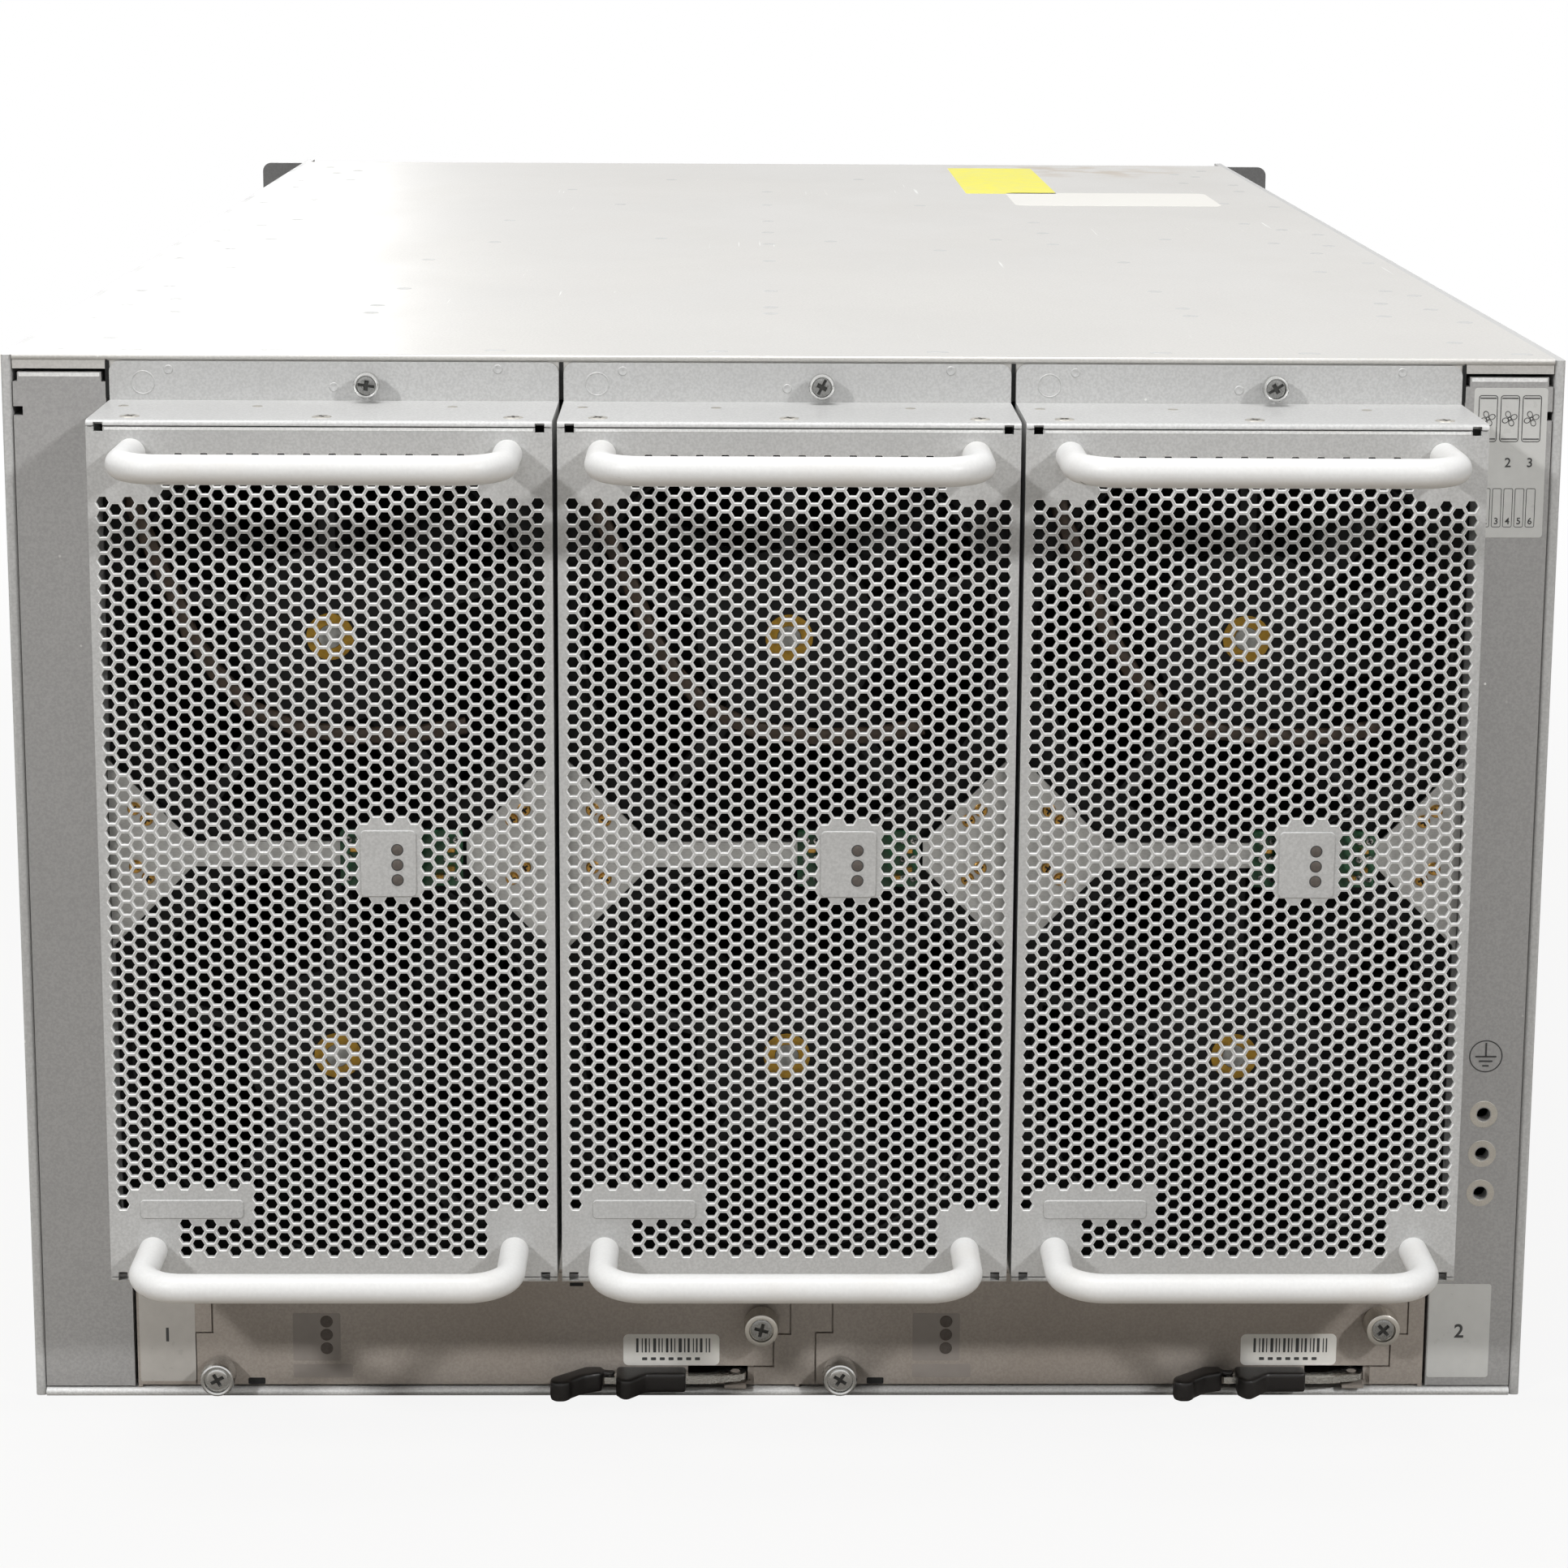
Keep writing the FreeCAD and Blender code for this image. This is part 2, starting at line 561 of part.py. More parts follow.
def lower_bay():
    """The shelf under the fan trays, with the stepped flanges and walls of the two controller bays."""
    shelf = block(("-bay_left", "bay_right"), (REAR, "shelf_end"), (SHELF_UNDER, "shelf_top"))
    foot = "2 * pan_bead + joint_gap"
    walls = [
        ("-bay_left", "-bay_left + bay_sheet"),
        (f"{controller_left(2)} - step_width - bay_sheet", f"{controller_left(2)} - step_width"),
        ("bay_right - bay_sheet", "bay_right"),
    ]
    deep = (REAR, f"{REAR} + bay_depth")
    solid = [shelf] + [block(x, deep, (foot, SHELF_UNDER)) for x in walls]
    flange = (REAR, f"{REAR} + bay_sheet")
    backing = (f"{REAR} + bay_sheet", f"{REAR} + bay_sheet + backing_sheet")
    low, high = ("controller_base", "step_height"), ("step_height", SHELF_UNDER)
    lefts = ["-bay_left", f"{controller_right(1)} + seam", f"{controller_right(2)} + seam"]
    rights = [f"{controller_left(1)} - seam", f"{controller_left(2)} - seam", "bay_right"]
    for number, (left, right) in enumerate(zip(lefts, rights)):
        last = number == CONTROLLERS
        shifted_left = left if number == 0 else f"{left} + step_width"
        shifted_right = right if last else f"{right} + step_width"
        solid.append(block((left, right), flange, ("controller_base", "step_height - 2 * seam")))
        solid.append(block((shifted_left, right), flange, low))
        solid.append(block((shifted_left, shifted_right), flange, high))
        strip_left = left if number == 0 else f"{lever_pivot(number)} + arm_end + seam"
        strip_right = right if last else f"{right} + controller_inset_left - seam"
        solid.append(block((strip_left, strip_right), backing, (foot, SHELF_UNDER)))
    for tray in range(1, TRAYS + 1):
        for side in (-1, 1):
            rail = f"{tray_x(tray)} + {side} * (tray_width / 2 - rail_inset)"
            solid.append(block((f"{rail} - bay_sheet / 2", f"{rail} + bay_sheet / 2"),
                               (f"{REAR} + slide_gap", deep[1]), ("shelf_top", "tray_base - slide_gap")))
    holes = []
    for number in range(1, CONTROLLERS + 1):
        left = f"{lever_pivot(number)} + lever_slot_right + seam"
        solid.append(block((left, f"{left} + catch_width"), flange, ("controller_base", "catch_top")))
        holes += [shank_hole(x, z) for x, z in controller_screws(number)]
    node("lower_bay", cut(fuse(solid), holes))


def rack_ear(side, name):
    """An angle with its slotted face across the front and its flange on the side panel."""
    inner, outer = "(chassis_width / 2)", "(rack_width / 2)"

    def across(a, b):
        return (a, b) if side > 0 else (f"-({b})", f"-({a})")

    rise = ("ear_base", "chassis_height - ear_drop")
    face = block(across(inner, outer), (f"{FRONT} - ear_sheet", FRONT), rise)
    face = rounded(face, "ear_radius",
                   lambda e, middle: along(e, "y") and side * (e.CenterOfMass.x - middle.x) > 0)
    flange = block(across(inner, f"{inner} + ear_sheet"), (f"{FRONT} - ear_flange", FRONT), rise)
    slots = []
    deep = (f"{FRONT} - ear_sheet - overcut", f"{FRONT} + overcut")
    x = f"({side} * rack_hole_span / 2)"
    half = "((rack_hole_width - rack_hole_height) / 2)"
    for hole in range(EAR_HOLES):
        z = f"(rack_hole_first + {hole} * rack_hole_pitch)"
        slots.append(block((f"{x} - {half}", f"{x} + {half}"), deep,
                           (f"{z} - rack_hole_height / 2", f"{z} + rack_hole_height / 2")))
        for end in (f"{x} - {half}", f"{x} + {half}"):
            slots.append(rod("rack_hole_height / 2", "ear_sheet + 2 * overcut", end, deep[0], z, TURN_TO_Y))
    node(name, cut(fuse([face, flange]), slots))


# Fan trays

def tray_housing():
    across = ("-tray_width / 2", "tray_width / 2")
    within = ("-tray_width / 2 + tray_sheet", "tray_width / 2 - tray_sheet")
    deep = (TRAY_FACE, f"{REAR} + bay_depth")
    shell = block(across, deep, ("tray_base", "tray_top"))
    shell = rounded(shell, "lip_radius",
                    lambda e, middle: along(e, "x") and e.CenterOfMass.y < middle.y)
    through = (f"{TRAY_FACE} - overcut", f"{REAR} + bay_depth + overcut")
    air = block(within, through, ("tray_base + tray_sheet", "tray_top - tray_sheet"))
    front = block((f"{across[0]} - overcut", f"{across[1]} + overcut"),
                  (f"{TRAY_FACE} - overcut", f"{TRAY_FACE} + face_sheet"),
                  ("tray_base + tray_sheet", "tray_top - tray_sheet"))
    reliefs = []
    for inset in ("-tray_width / 2 + relief_inset", "tray_width / 2 - relief_inset - relief_size"):
        for z in ("face_base", "face_top"):
            reliefs.append(block((inset, f"{inset} + relief_size"),
                                 (f"{TRAY_FACE} - overcut", f"{TRAY_FACE} + 2 * face_sheet"),
                                 (f"{z} - relief_size / 2", f"{z} + relief_size / 2")))
    flange = (f"{REAR} - tray_flange_sheet", REAR)
    upper = block(across, flange, ("tray_top", "chassis_height - 2 * cover_bead - tray_flange_gap"))
    upper = rounded(upper, "flange_radius",
                    lambda e, middle: along(e, "y") and e.CenterOfMass.z > middle.z)
    lower = block(across, flange, ("shelf_top + slide_gap", "tray_base"))
    hole = shank_hole("tray_screw_shift", "tray_screw_height")
    box = cut(shell, [air, front] + reliefs)
    return cut(fuse([box, upper, lower]), [hole])


def tray_faceplate():
    """The perforated front of a tray, with the raised LED plate and label strip."""
    body = new_body("Faceplate", y=TRAY_FACE)
    plate = new_sketch(body, "XZ_Plane")
    add_loop(plate, rectangle(("-tray_width / 2", "tray_width / 2"), ("face_base", "face_top")))
    pad(body, plate, "face_sheet", True)
    outer = (GRILLE_COLUMNS - 1) // 2
    patterns = (
        (f"(-{outer} * grille_column)", "(grille_centre - (grille_rows - 1) / 2 * grille_pitch)",
         outer + 1, "grille_rows"),
        (f"((1 - {outer}) * grille_column)", "(grille_centre - (grille_rows - 2) / 2 * grille_pitch)",
         outer, "grille_rows - 1"),
    )
    for x, z, columns, rows in patterns:
        hexagon = new_sketch(body, "XZ_Plane")
        corners = [
            (f"{x} + grille_corner * cos({60 * i})", f"{z} + grille_corner * sin({60 * i})")
            for i in range(6)
        ]
        add_loop(hexagon, corners)
        opening = pocket_through(body, hexagon)
        DOC.recompute()
        grid = body.newObject("PartDesign::LinearPattern", "Openings")
        grid.Originals = [opening]
        grid.Direction = (hexagon, ["H_Axis"])
        grid.Direction2 = (hexagon, ["V_Axis"])
        grid.Mode = "Spacing"
        grid.Mode2 = "Spacing"
        bind(grid, Offset="2 * grille_column", Occurrences=columns, Offset2="grille_pitch",
             Occurrences2=rows)
        body.Tip = grid
        DOC.recompute()
    plates = new_sketch(body, "XZ_Plane")
    add_loop(plates, rectangle(
        ("led_plate_shift - led_plate_width / 2", "led_plate_shift + led_plate_width / 2"),
        ("led_centre - led_plate_height / 2", "led_centre + led_plate_height / 2")))
    add_loop(plates, rectangle(
        ("-strip_shift - strip_width / 2", "-strip_shift + strip_width / 2"),
        ("strip_centre - strip_height / 2", "strip_centre + strip_height / 2")))
    pad(body, plates, "raised")
    pad(body, plates, "face_sheet", True)
    windows = new_sketch(body, "XZ_Plane")
    for step in (-1, 0, 1):
        add_circle(windows, "led_shift", f"led_centre + {step} * led_pitch", "led_radius")
    pocket_through(body, windows)
    reliefs = new_sketch(body, "XZ_Plane")
    for x in ("-tray_width / 2 + relief_inset", "tray_width / 2 - relief_inset - relief_size"):
        for z in ("face_base", "face_top"):
            add_loop(reliefs, rectangle((x, f"{x} + relief_size"),
                                        (f"{z} - relief_size / 2", f"{z} + relief_size / 2")))
    pocket_through(body, reliefs)
    return body


def tray_handle(z):
    """A bent rod: two legs, two quarter bends and the bar between them."""
    solid = []
    bar = f"({TRAY_FACE} - handle_stand)"
    for side in (-1, 1):
        foot = f"({side} * handle_span / 2)"
        solid.append(rod("handle_rod", "handle_stand - handle_bend", foot, f"{bar} + handle_bend", z,
                         TURN_TO_Y))
        bend = DOC.addObject("Part::Torus", "Bend")
        bind(bend, Radius1="handle_bend", Radius2="handle_rod", Angle3="90")
        turn = FreeCAD.Rotation(FreeCAD.Vector(0, 0, 1), 180 if side < 0 else 270)
        place(bend, f"{foot} - {side} * handle_bend", f"{bar} + handle_bend", z, turn)
        solid.append(bend)
    solid.append(rod("handle_rod", "handle_span - 2 * handle_bend", "handle_bend - handle_span / 2", bar, z,
                     TURN_TO_X))
    return fuse(solid)


def fan_centre(level):
    """The height of a fan's axis: level 1 is the upper fan, -1 the lower one."""
    return f"(tray_middle + {level} * fan_pitch / 2)"


def fan_frame(level):
    """A square frame whose struts hold the motor cup and the bearing tube."""
    z = fan_centre(level)
    square = block(("-fan_width / 2", "fan_width / 2"), (FAN_FACE, f"{FAN_FACE} + fan_depth"),
                   (f"{z} - fan_height / 2", f"{z} + fan_height / 2"))
    bore = rod("fan_bore", "fan_depth + 2 * overcut", "0", f"{FAN_FACE} - overcut", z, TURN_TO_Y)
    cup = rod("motor_radius", "motor_cup", "0", FAN_FACE, z, TURN_TO_Y)
    tube = rod("bearing_radius", "motor_cup + bearing_length", "0", FAN_FACE, z, TURN_TO_Y)
    struts = []
    for strut in range(STRUTS):
        arm = DOC.addObject("Part::Box", "Strut")
        bind(arm, Length="fan_bore + strut_root", Width="motor_cup", Height="strut_width")
        angle = 360 * (strut + 0.25) / STRUTS
        turn = FreeCAD.Rotation(FreeCAD.Vector(0, 1, 0), -angle)
        struts.append(place(arm, f"strut_width / 2 * sin({angle})", FAN_FACE,
                            f"{z} - strut_width / 2 * cos({angle})", turn))
    shaft = rod("shaft_radius + pin_fit", "motor_cup + bearing_length + 2 * overcut", "0",
                f"{FAN_FACE} - overcut", z, TURN_TO_Y)
    return cut(fuse([cut(square, [bore]), cup, tube] + struts), [shaft])


def fan_rotor(level):
    """A hub cup with its shaft and its pitched blades."""
    z = fan_centre(level)
    start = f"({FAN_FACE} + motor_cup + hub_gap)"
    hub = rod("motor_radius", "hub_length", "0", start, z, TURN_TO_Y)
    hollow = rod("motor_radius - hub_wall", "hub_length - hub_wall", "0", start, z, TURN_TO_Y)
    shaft = rod("shaft_radius", "hub_length + motor_cup", "0", FAN_FACE, z, TURN_TO_Y)
    middle = f"({start} + hub_length / 2)"
    root = "(motor_radius - hub_wall / 2)"
    blades = []
    for blade in range(BLADES):
        vane = DOC.addObject("Part::Box", "Blade")
        bind(vane, Length=f"fan_bore - {root}", Width="blade_chord", Height="blade_sheet")
        angle = 360 * blade / BLADES
        lean = FreeCAD.Rotation(FreeCAD.Vector(1, 0, 0), 90 * level - SHEET.get("blade_pitch"))
        spread = FreeCAD.Rotation(FreeCAD.Vector(0, 1, 0), -angle)
        rise = f"({level} * blade_chord / 2 * cos(blade_pitch))"
        place(vane, f"{root} * cos({angle}) + {rise} * sin({angle})",
              f"{middle} - {level} * blade_chord / 2 * sin(blade_pitch)",
              f"{z} + {root} * sin({angle}) - {rise} * cos({angle})", spread.multiply(lean))
        blades.append(vane)
    sweep = rod("fan_bore - blade_gap", "hub_length", "0", start, z, TURN_TO_Y)
    core = rod(root, "hub_length", "0", start, z, TURN_TO_Y)
    trimmed = DOC.addObject("Part::MultiCommon", "Trimmed")
    trimmed.Shapes = [fuse(blades), cut(sweep, [core])]
    return fuse([cut(hub, [hollow]), shaft, trimmed])


def fan_bracket():
    """Two corner plates between the fans, the left one with the arm that carries the LED board."""
    wall = "(fan_width / 2)"
    tip = f"({wall} - bracket_reach)"
    plates = []
    for side in (-1, 1):
        body = new_body("Bracket", y=f"{TRAY_FACE} + bracket_recess")
        shape = new_sketch(body, "XZ_Plane")
        end = "arm_tip" if side < 0 else tip
        add_loop(shape, [
            (f"{side} * {wall}", "tray_middle - bracket_height / 2"),
            (f"{side} * {wall}", "tray_middle + bracket_height / 2"),
            (f"{side} * {tip}", "tray_middle + arm_height / 2"),
            (end, "tray_middle + arm_height / 2") if side < 0 else (tip, "tray_middle + arm_height / 4"),
            (end, "tray_middle - arm_height / 2") if side < 0 else (tip, "tray_middle - arm_height / 4"),
            (f"{side} * {tip}", "tray_middle - arm_height / 2"),
        ])
        pad(body, shape, "bracket_sheet", True)
        plates.append(body)
    return group(plates)


def led_board():
    """The small board on the bracket arm, with its three LEDs in the faceplate windows."""
    back = f"({TRAY_FACE} + bracket_recess)"
    board = block(("led_board_left", "led_board_left + led_board_width"),
                  (f"{back} - board_sheet", back),
                  ("led_centre - led_board_height / 2", "led_centre + led_board_height / 2"))
    lamps = [
        rod("led_radius - led_fit", "bracket_recess - board_sheet + raised / 2", "led_shift",
            f"{TRAY_FACE} - raised / 2", f"led_centre + {step} * led_pitch", TURN_TO_Y)
        for step in (-1, 0, 1)
    ]
    return fuse([board] + lamps)


def tray_screw():
    x, z = "tray_screw_shift", "tray_screw_height"
    face = f"({REAR} - tray_flange_sheet)"
    head = rod("tray_screw_radius", "tray_screw_head", x, f"{face} - tray_screw_stand - tray_screw_head", z,
               TURN_TO_Y)
    shank = rod("shank_radius", "tray_screw_stand + tray_flange_sheet + shank_length", x,
                f"{face} - tray_screw_stand", z, TURN_TO_Y)
    return fuse([head, shank])


# System controllers

def controller_screws(number):
    """Where a controller's two thumb screws stand: the lower left one and the upper right one."""
    return (
        (f"{controller_left(number)} + low_screw_inset", "low_screw_height"),
        (f"{controller_right(number)} - high_screw_inset", "high_screw_height"),
    )


def controller_tray():
    """A folded tray behind a stepped faceplate, with the lug and pin of the ejector lever."""
    left, right, pivot = controller_left(1), controller_right(1), lever_pivot(1)
    face = (REAR, f"{REAR} + controller_sheet")
    solid = [
        block((left, right), face, ("controller_base", "step_height - seam")),
        block((f"{left} + step_width", f"{right} + step_width"), face,
              ("step_height - seam", CONTROLLER_TOP)),
    ]
    body = (f"{left} + controller_inset_left", f"{right} - controller_inset_right")
    deep = (REAR, f"{REAR} + bay_depth")
    floor = ("controller_base", "controller_base + controller_sheet")
    wall = ("controller_base", "controller_base + controller_wall")
    solid.append(block(body, deep, floor))
    solid.append(block((body[0], f"{body[0]} + controller_sheet"), deep, wall))
    solid.append(block((f"{body[1]} - controller_sheet", body[1]), deep, wall))
    for x in (body[0], f"{body[1]} - runner_width"):
        solid.append(block((x, f"{x} + runner_width"), (f"{REAR} + post_return", deep[1]),
                           ("pan_sheet + slide_gap", "controller_base")))
    lug = block((f"{pivot} - arm_end", f"{pivot} + arm_end"), (f"{REAR} - arm_end", f"{REAR} + arm_end"),
                floor)
    pin = rod("pivot_radius", "arm_base + arm_sheet - controller_base", pivot, REAR, "controller_base")
    behind = (f"{REAR} - overcut", f"{REAR} + post_return")
    slot = block((f"{pivot} - lever_slot_left", f"{right} + seam"), behind,
                 ("controller_base + controller_sheet", "lever_slot_top"))
    catch_room = block((f"{pivot} + lever_slot_right - seam", f"{right} + seam"), behind,
                       ("0", "lever_slot_top"))
    holes = [shank_hole(x, z) for x, z in controller_screws(1)]
    shell = cut(fuse(solid), [slot, catch_room] + holes)
    return fuse([shell, lug, pin])


def controller_board():
    left, right = controller_left(1), controller_right(1)
    x = (f"{left} + controller_inset_left + controller_sheet + joint_gap",
         f"{right} - controller_inset_right - controller_sheet - joint_gap")
    y = (f"{REAR} + post_return + controller_sheet", f"{REAR} + bay_depth")
    board = block(x, y, ("board_height", "board_height + board_sheet"))
    posts = []
    for px in (f"{x[0]} + 2 * standoff_radius", f"{x[1]} - 2 * standoff_radius"):
        for py in (f"{y[0]} + 2 * standoff_radius", f"{y[1]} - 2 * standoff_radius"):
            posts.append(rod("standoff_radius", "board_height - controller_base - controller_sheet", px, py,
                             "controller_base + controller_sheet"))
    return fuse([board] + posts)


def plan_body(z):
    """A body whose plan is drawn from the lever pivot: x to the right, y away from the faceplate."""
    return new_body("Plan", lever_pivot(1), REAR, z)


def lever_solids():
    """The bare lever: an eye on the pin and a straight arm that runs in front of the faceplate."""
    body = plan_body("arm_base")
    shape = new_sketch(body, "XY_Plane")
    end = "(-grip_start - grip_length - link_length)"
    add_loop(shape, [
        ("0", "arm_end"), ("0", "-arm_end"), ("-arm_neck", "-arm_front"), (end, "-arm_front"),
        (end, "-arm_back"), ("-arm_neck", "-arm_back"),
    ])
    pad(body, shape, "arm_sheet")
    eye = rod("arm_end", "arm_sheet", lever_pivot(1), REAR, "arm_base")
    return body, eye


def trigger_pivot():
    return (f"({lever_pivot(1)} - grip_start - grip_length - link_length / 2)",
            f"({REAR} - (arm_back + arm_front) / 2)")


def lever_arm():
    body, eye = lever_solids()
    x, y = trigger_pivot()
    through = "arm_sheet + 2 * overcut"
    pin = rod("pivot_radius + pin_fit", through, lever_pivot(1), REAR, "arm_base - overcut")
    hole = rod("trigger_pin + pin_fit", through, x, y, "arm_base - overcut")
    return cut(fuse([body, eye]), [pin, hole])


def lever_grip():
    """The moulded sleeve on the lever, with a finger hook at its free end."""
    body = plan_body("grip_base")
    shape = new_sketch(body, "XY_Plane")
    end = "(-grip_start - grip_length)"
    add_loop(shape, [
        ("-grip_start", "-grip_back"), (end, "-grip_back"), (end, "-(grip_front + grip_hook) / 2"),
        (f"{end} + hook_width / 3", "-grip_hook"), (f"{end} + 2 * hook_width / 3", "-grip_hook"),
        (f"{end} + 3 * hook_width / 2", "-grip_front"), ("-grip_start", "-grip_front"),
    ])
    moulding = pad(body, shape, "grip_height")
    DOC.recompute()
    edges = [f"Edge{i}" for i, edge in enumerate(moulding.Shape.Edges, 1) if along(edge, "z")]
    soft = body.newObject("PartDesign::Fillet", "Soft")
    soft.Base = (moulding, edges)
    bind(soft, Radius="edge_radius")
    core, eye = lever_solids()
    return cut(body, [core, eye])


def lever_trigger():
    """The release catch at the end of the lever: a tongue on its pin, and a lobe with a rounded end."""
    x, y = trigger_pivot()
    top = "(arm_base + arm_sheet + slide_gap)"
    tongue = rod("link_length / 2 - joint_gap", "trigger_tongue", x, y, top)
    pin = rod("trigger_pin", "arm_sheet + slide_gap", x, y, "arm_base")
    start = "(-grip_start - grip_length - link_length - trigger_gap)"
    neck = block((f"{lever_pivot(1)} + {start} - trigger_pin", x),
                 (f"{y} - trigger_neck / 2", f"{y} + trigger_neck / 2"), (top, f"{top} + trigger_tongue"))
    body = plan_body("grip_base")
    shape = new_sketch(body, "XY_Plane")
    end = f"({start} - trigger_length + bulb_radius)"
    waist = f"{start} - trigger_length / 3"
    add_loop(shape, [
        (start, "-grip_back"), (waist, "-grip_back"),
        (f"{end} - bulb_radius * cos(53)", "-bulb_front + bulb_radius * sin(53)"),
        (end, "-bulb_front - bulb_radius"), (waist, "-grip_front - trigger_flare"),
        (start, "-grip_front + trigger_flare"),
    ])
    pad(body, shape, "grip_height")
    bulb = rod("bulb_radius", "grip_height", f"{lever_pivot(1)} + {end}", f"{REAR} - bulb_front", "grip_base")
    return fuse([tongue, pin, neck, body, bulb])


def thumb_screw(x, z):
    """A captive screw turned from one bar: knurled head with a drive recess, and a shank."""
    head = rod("thumb_radius", "thumb_length", x, f"{REAR} - thumb_length - slide_gap", z, TURN_TO_Y)
    recess = rod("thumb_recess", "thumb_recess_depth", x, f"{REAR} - thumb_length - slide_gap", z, TURN_TO_Y)
    shank = rod("shank_radius", "shank_length", x, f"{REAR} - slide_gap", z, TURN_TO_Y)
    return cut(fuse([head, shank]), [recess])


# Modules inside the chassis and in its front

def fabric_modules():
    boards = []
    for number in range(FABRIC_MODULES):
        x = f"({number} - {(FABRIC_MODULES - 1) / 2}) * fabric_pitch"
        boards.append(block((f"{x} - fabric_sheet / 2", f"{x} + fabric_sheet / 2"),
                            ("shelf_end - fabric_depth", "shelf_end - joint_gap"),
                            ("shelf_top + joint_gap", f"{UNDER_COVER} - joint_gap")))
    node("fabric_modules", group(boards))


def line_card(number):
    """A folded card tray behind its blank faceplate."""
    z = card_floor_height(number)
    left, right = BETWEEN_SIDES
    face = block(BETWEEN_SIDES, (f"{MODULE_FACE} - card_face", MODULE_FACE),
                 (z, f"{z} + card_pitch - front_gap"))
    run = ("card_inner", f"{MODULE_FACE} - card_face")
    floor = block(BETWEEN_SIDES, run, (z, f"{z} + card_floor"))
    walls = [
        block((left, f"{left} + card_floor"), run, (z, f"{z} + card_wall")),
        block((f"{right} - card_floor", right), run, (z, f"{z} + card_wall")),
    ]
    node(f"line_card_{number}", fuse([face, floor] + walls))


def row_of_boxes(count, inset, y, z):
    """Closed modules side by side across the chassis, an inset away from the gap beside its sides."""
    width = f"(({BETWEEN_SIDES_SPAN} - 2 * ({inset}) - {count - 1} * front_gap) / {count})"
    boxes = []
    for number in range(count):
        left = f"({BETWEEN_SIDES[0]} + {inset} + {number} * ({width} + front_gap))"
        boxes.append(block((left, f"{left} + {width}"), y, z))
    return boxes


def supervisors():
    shelf = block(BETWEEN_SIDES, ("card_inner", f"{MODULE_FACE} - card_face"),
                  ("supervisor_shelf_top - card_floor", "supervisor_shelf_top"))
    modules = row_of_boxes(SUPERVISORS, "0", ("card_inner", MODULE_FACE),
                           ("supervisor_shelf_top + slide_gap", "card_base - card_floor - front_gap"))
    node("supervisor_modules", group([shelf] + modules))


def power_supplies():
    boxes = row_of_boxes(POWER_SUPPLIES, "fold_sheet + joint_gap + fold_sheet", ("power_inner", MODULE_FACE),
                         ("pan_sheet + slide_gap", "supervisor_shelf_top - 2 * card_floor - front_gap"))
    node("power_supplies", group(boxes))


def build():
    base_pan()
    top_cover()
    for side, word in ((-1, "left"), (1, "right")):
        side_panel(side, f"side_panel_{word}")
        rear_post(side, f"rear_post_{word}")
        rack_ear(side, f"rack_ear_{word}")
    lower_bay()
    trays = [tray_x(tray) for tray in range(1, TRAYS + 1)]
    repeat("tray_housing", tray_housing(), trays)
    repeat("tray_faceplate", tray_faceplate(), trays)
    repeat("tray_handle_upper", tray_handle("handle_high"), trays)
    repeat("tray_handle_lower", tray_handle("handle_low"), trays)
    repeat("fan_frames", group([fan_frame(1), fan_frame(-1)]), trays)
    repeat("fan_rotor_upper", fan_rotor(1), trays)
    repeat("fan_rotor_lower", fan_rotor(-1), trays)
    repeat("fan_bracket", fan_bracket(), trays)
    repeat("led_board", led_board(), trays)
    repeat("tray_screw", tray_screw(), trays)
    controllers = [f"{number} * controller_pitch" for number in range(CONTROLLERS)]
    repeat("controller_tray", controller_tray(), controllers)
    repeat("controller_board", controller_board(), controllers)
    repeat("lever_arm", lever_arm(), controllers)
    repeat("lever_grip", lever_grip(), controllers)
    repeat("lever_trigger", lever_trigger(), controllers)
    for word, (x, z) in zip(("low", "high"), controller_screws(1)):
        repeat(f"controller_screw_{word}", thumb_screw(x, z), controllers)
    fabric_modules()
    for number in range(1, LINE_CARDS + 1):
        line_card(number)
    supervisors()
    power_supplies()


def check():
    for item in DOC.Objects:
        if "Invalid" in item.State or "Error" in item.State:
            raise RuntimeError(f"{item.Label} did not build: {item.State}")
    for label, item in NODES.items():
        if item.Shape.isNull() or not item.Shape.isValid() or not item.Shape.Solids:
            raise RuntimeError(f"{label} is not a valid solid")


build()
DOC.recompute()
check()
os.makedirs("parts", exist_ok=True)
for label, item in NODES.items():
    item.Shape.exportStep(f"parts/{label}.step")
    box = item.Shape.BoundBox
    print(f"{label}: {len(item.Shape.Solids)} solids, x {box.XMin:.1f} {box.XMax:.1f}, "
          f"y {box.YMin:.1f} {box.YMax:.1f}, z {box.ZMin:.1f} {box.ZMax:.1f}, {item.Shape.Volume:.0f} mm3")
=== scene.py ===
import json
import math

import bmesh
import bpy
from mathutils import Matrix, Vector


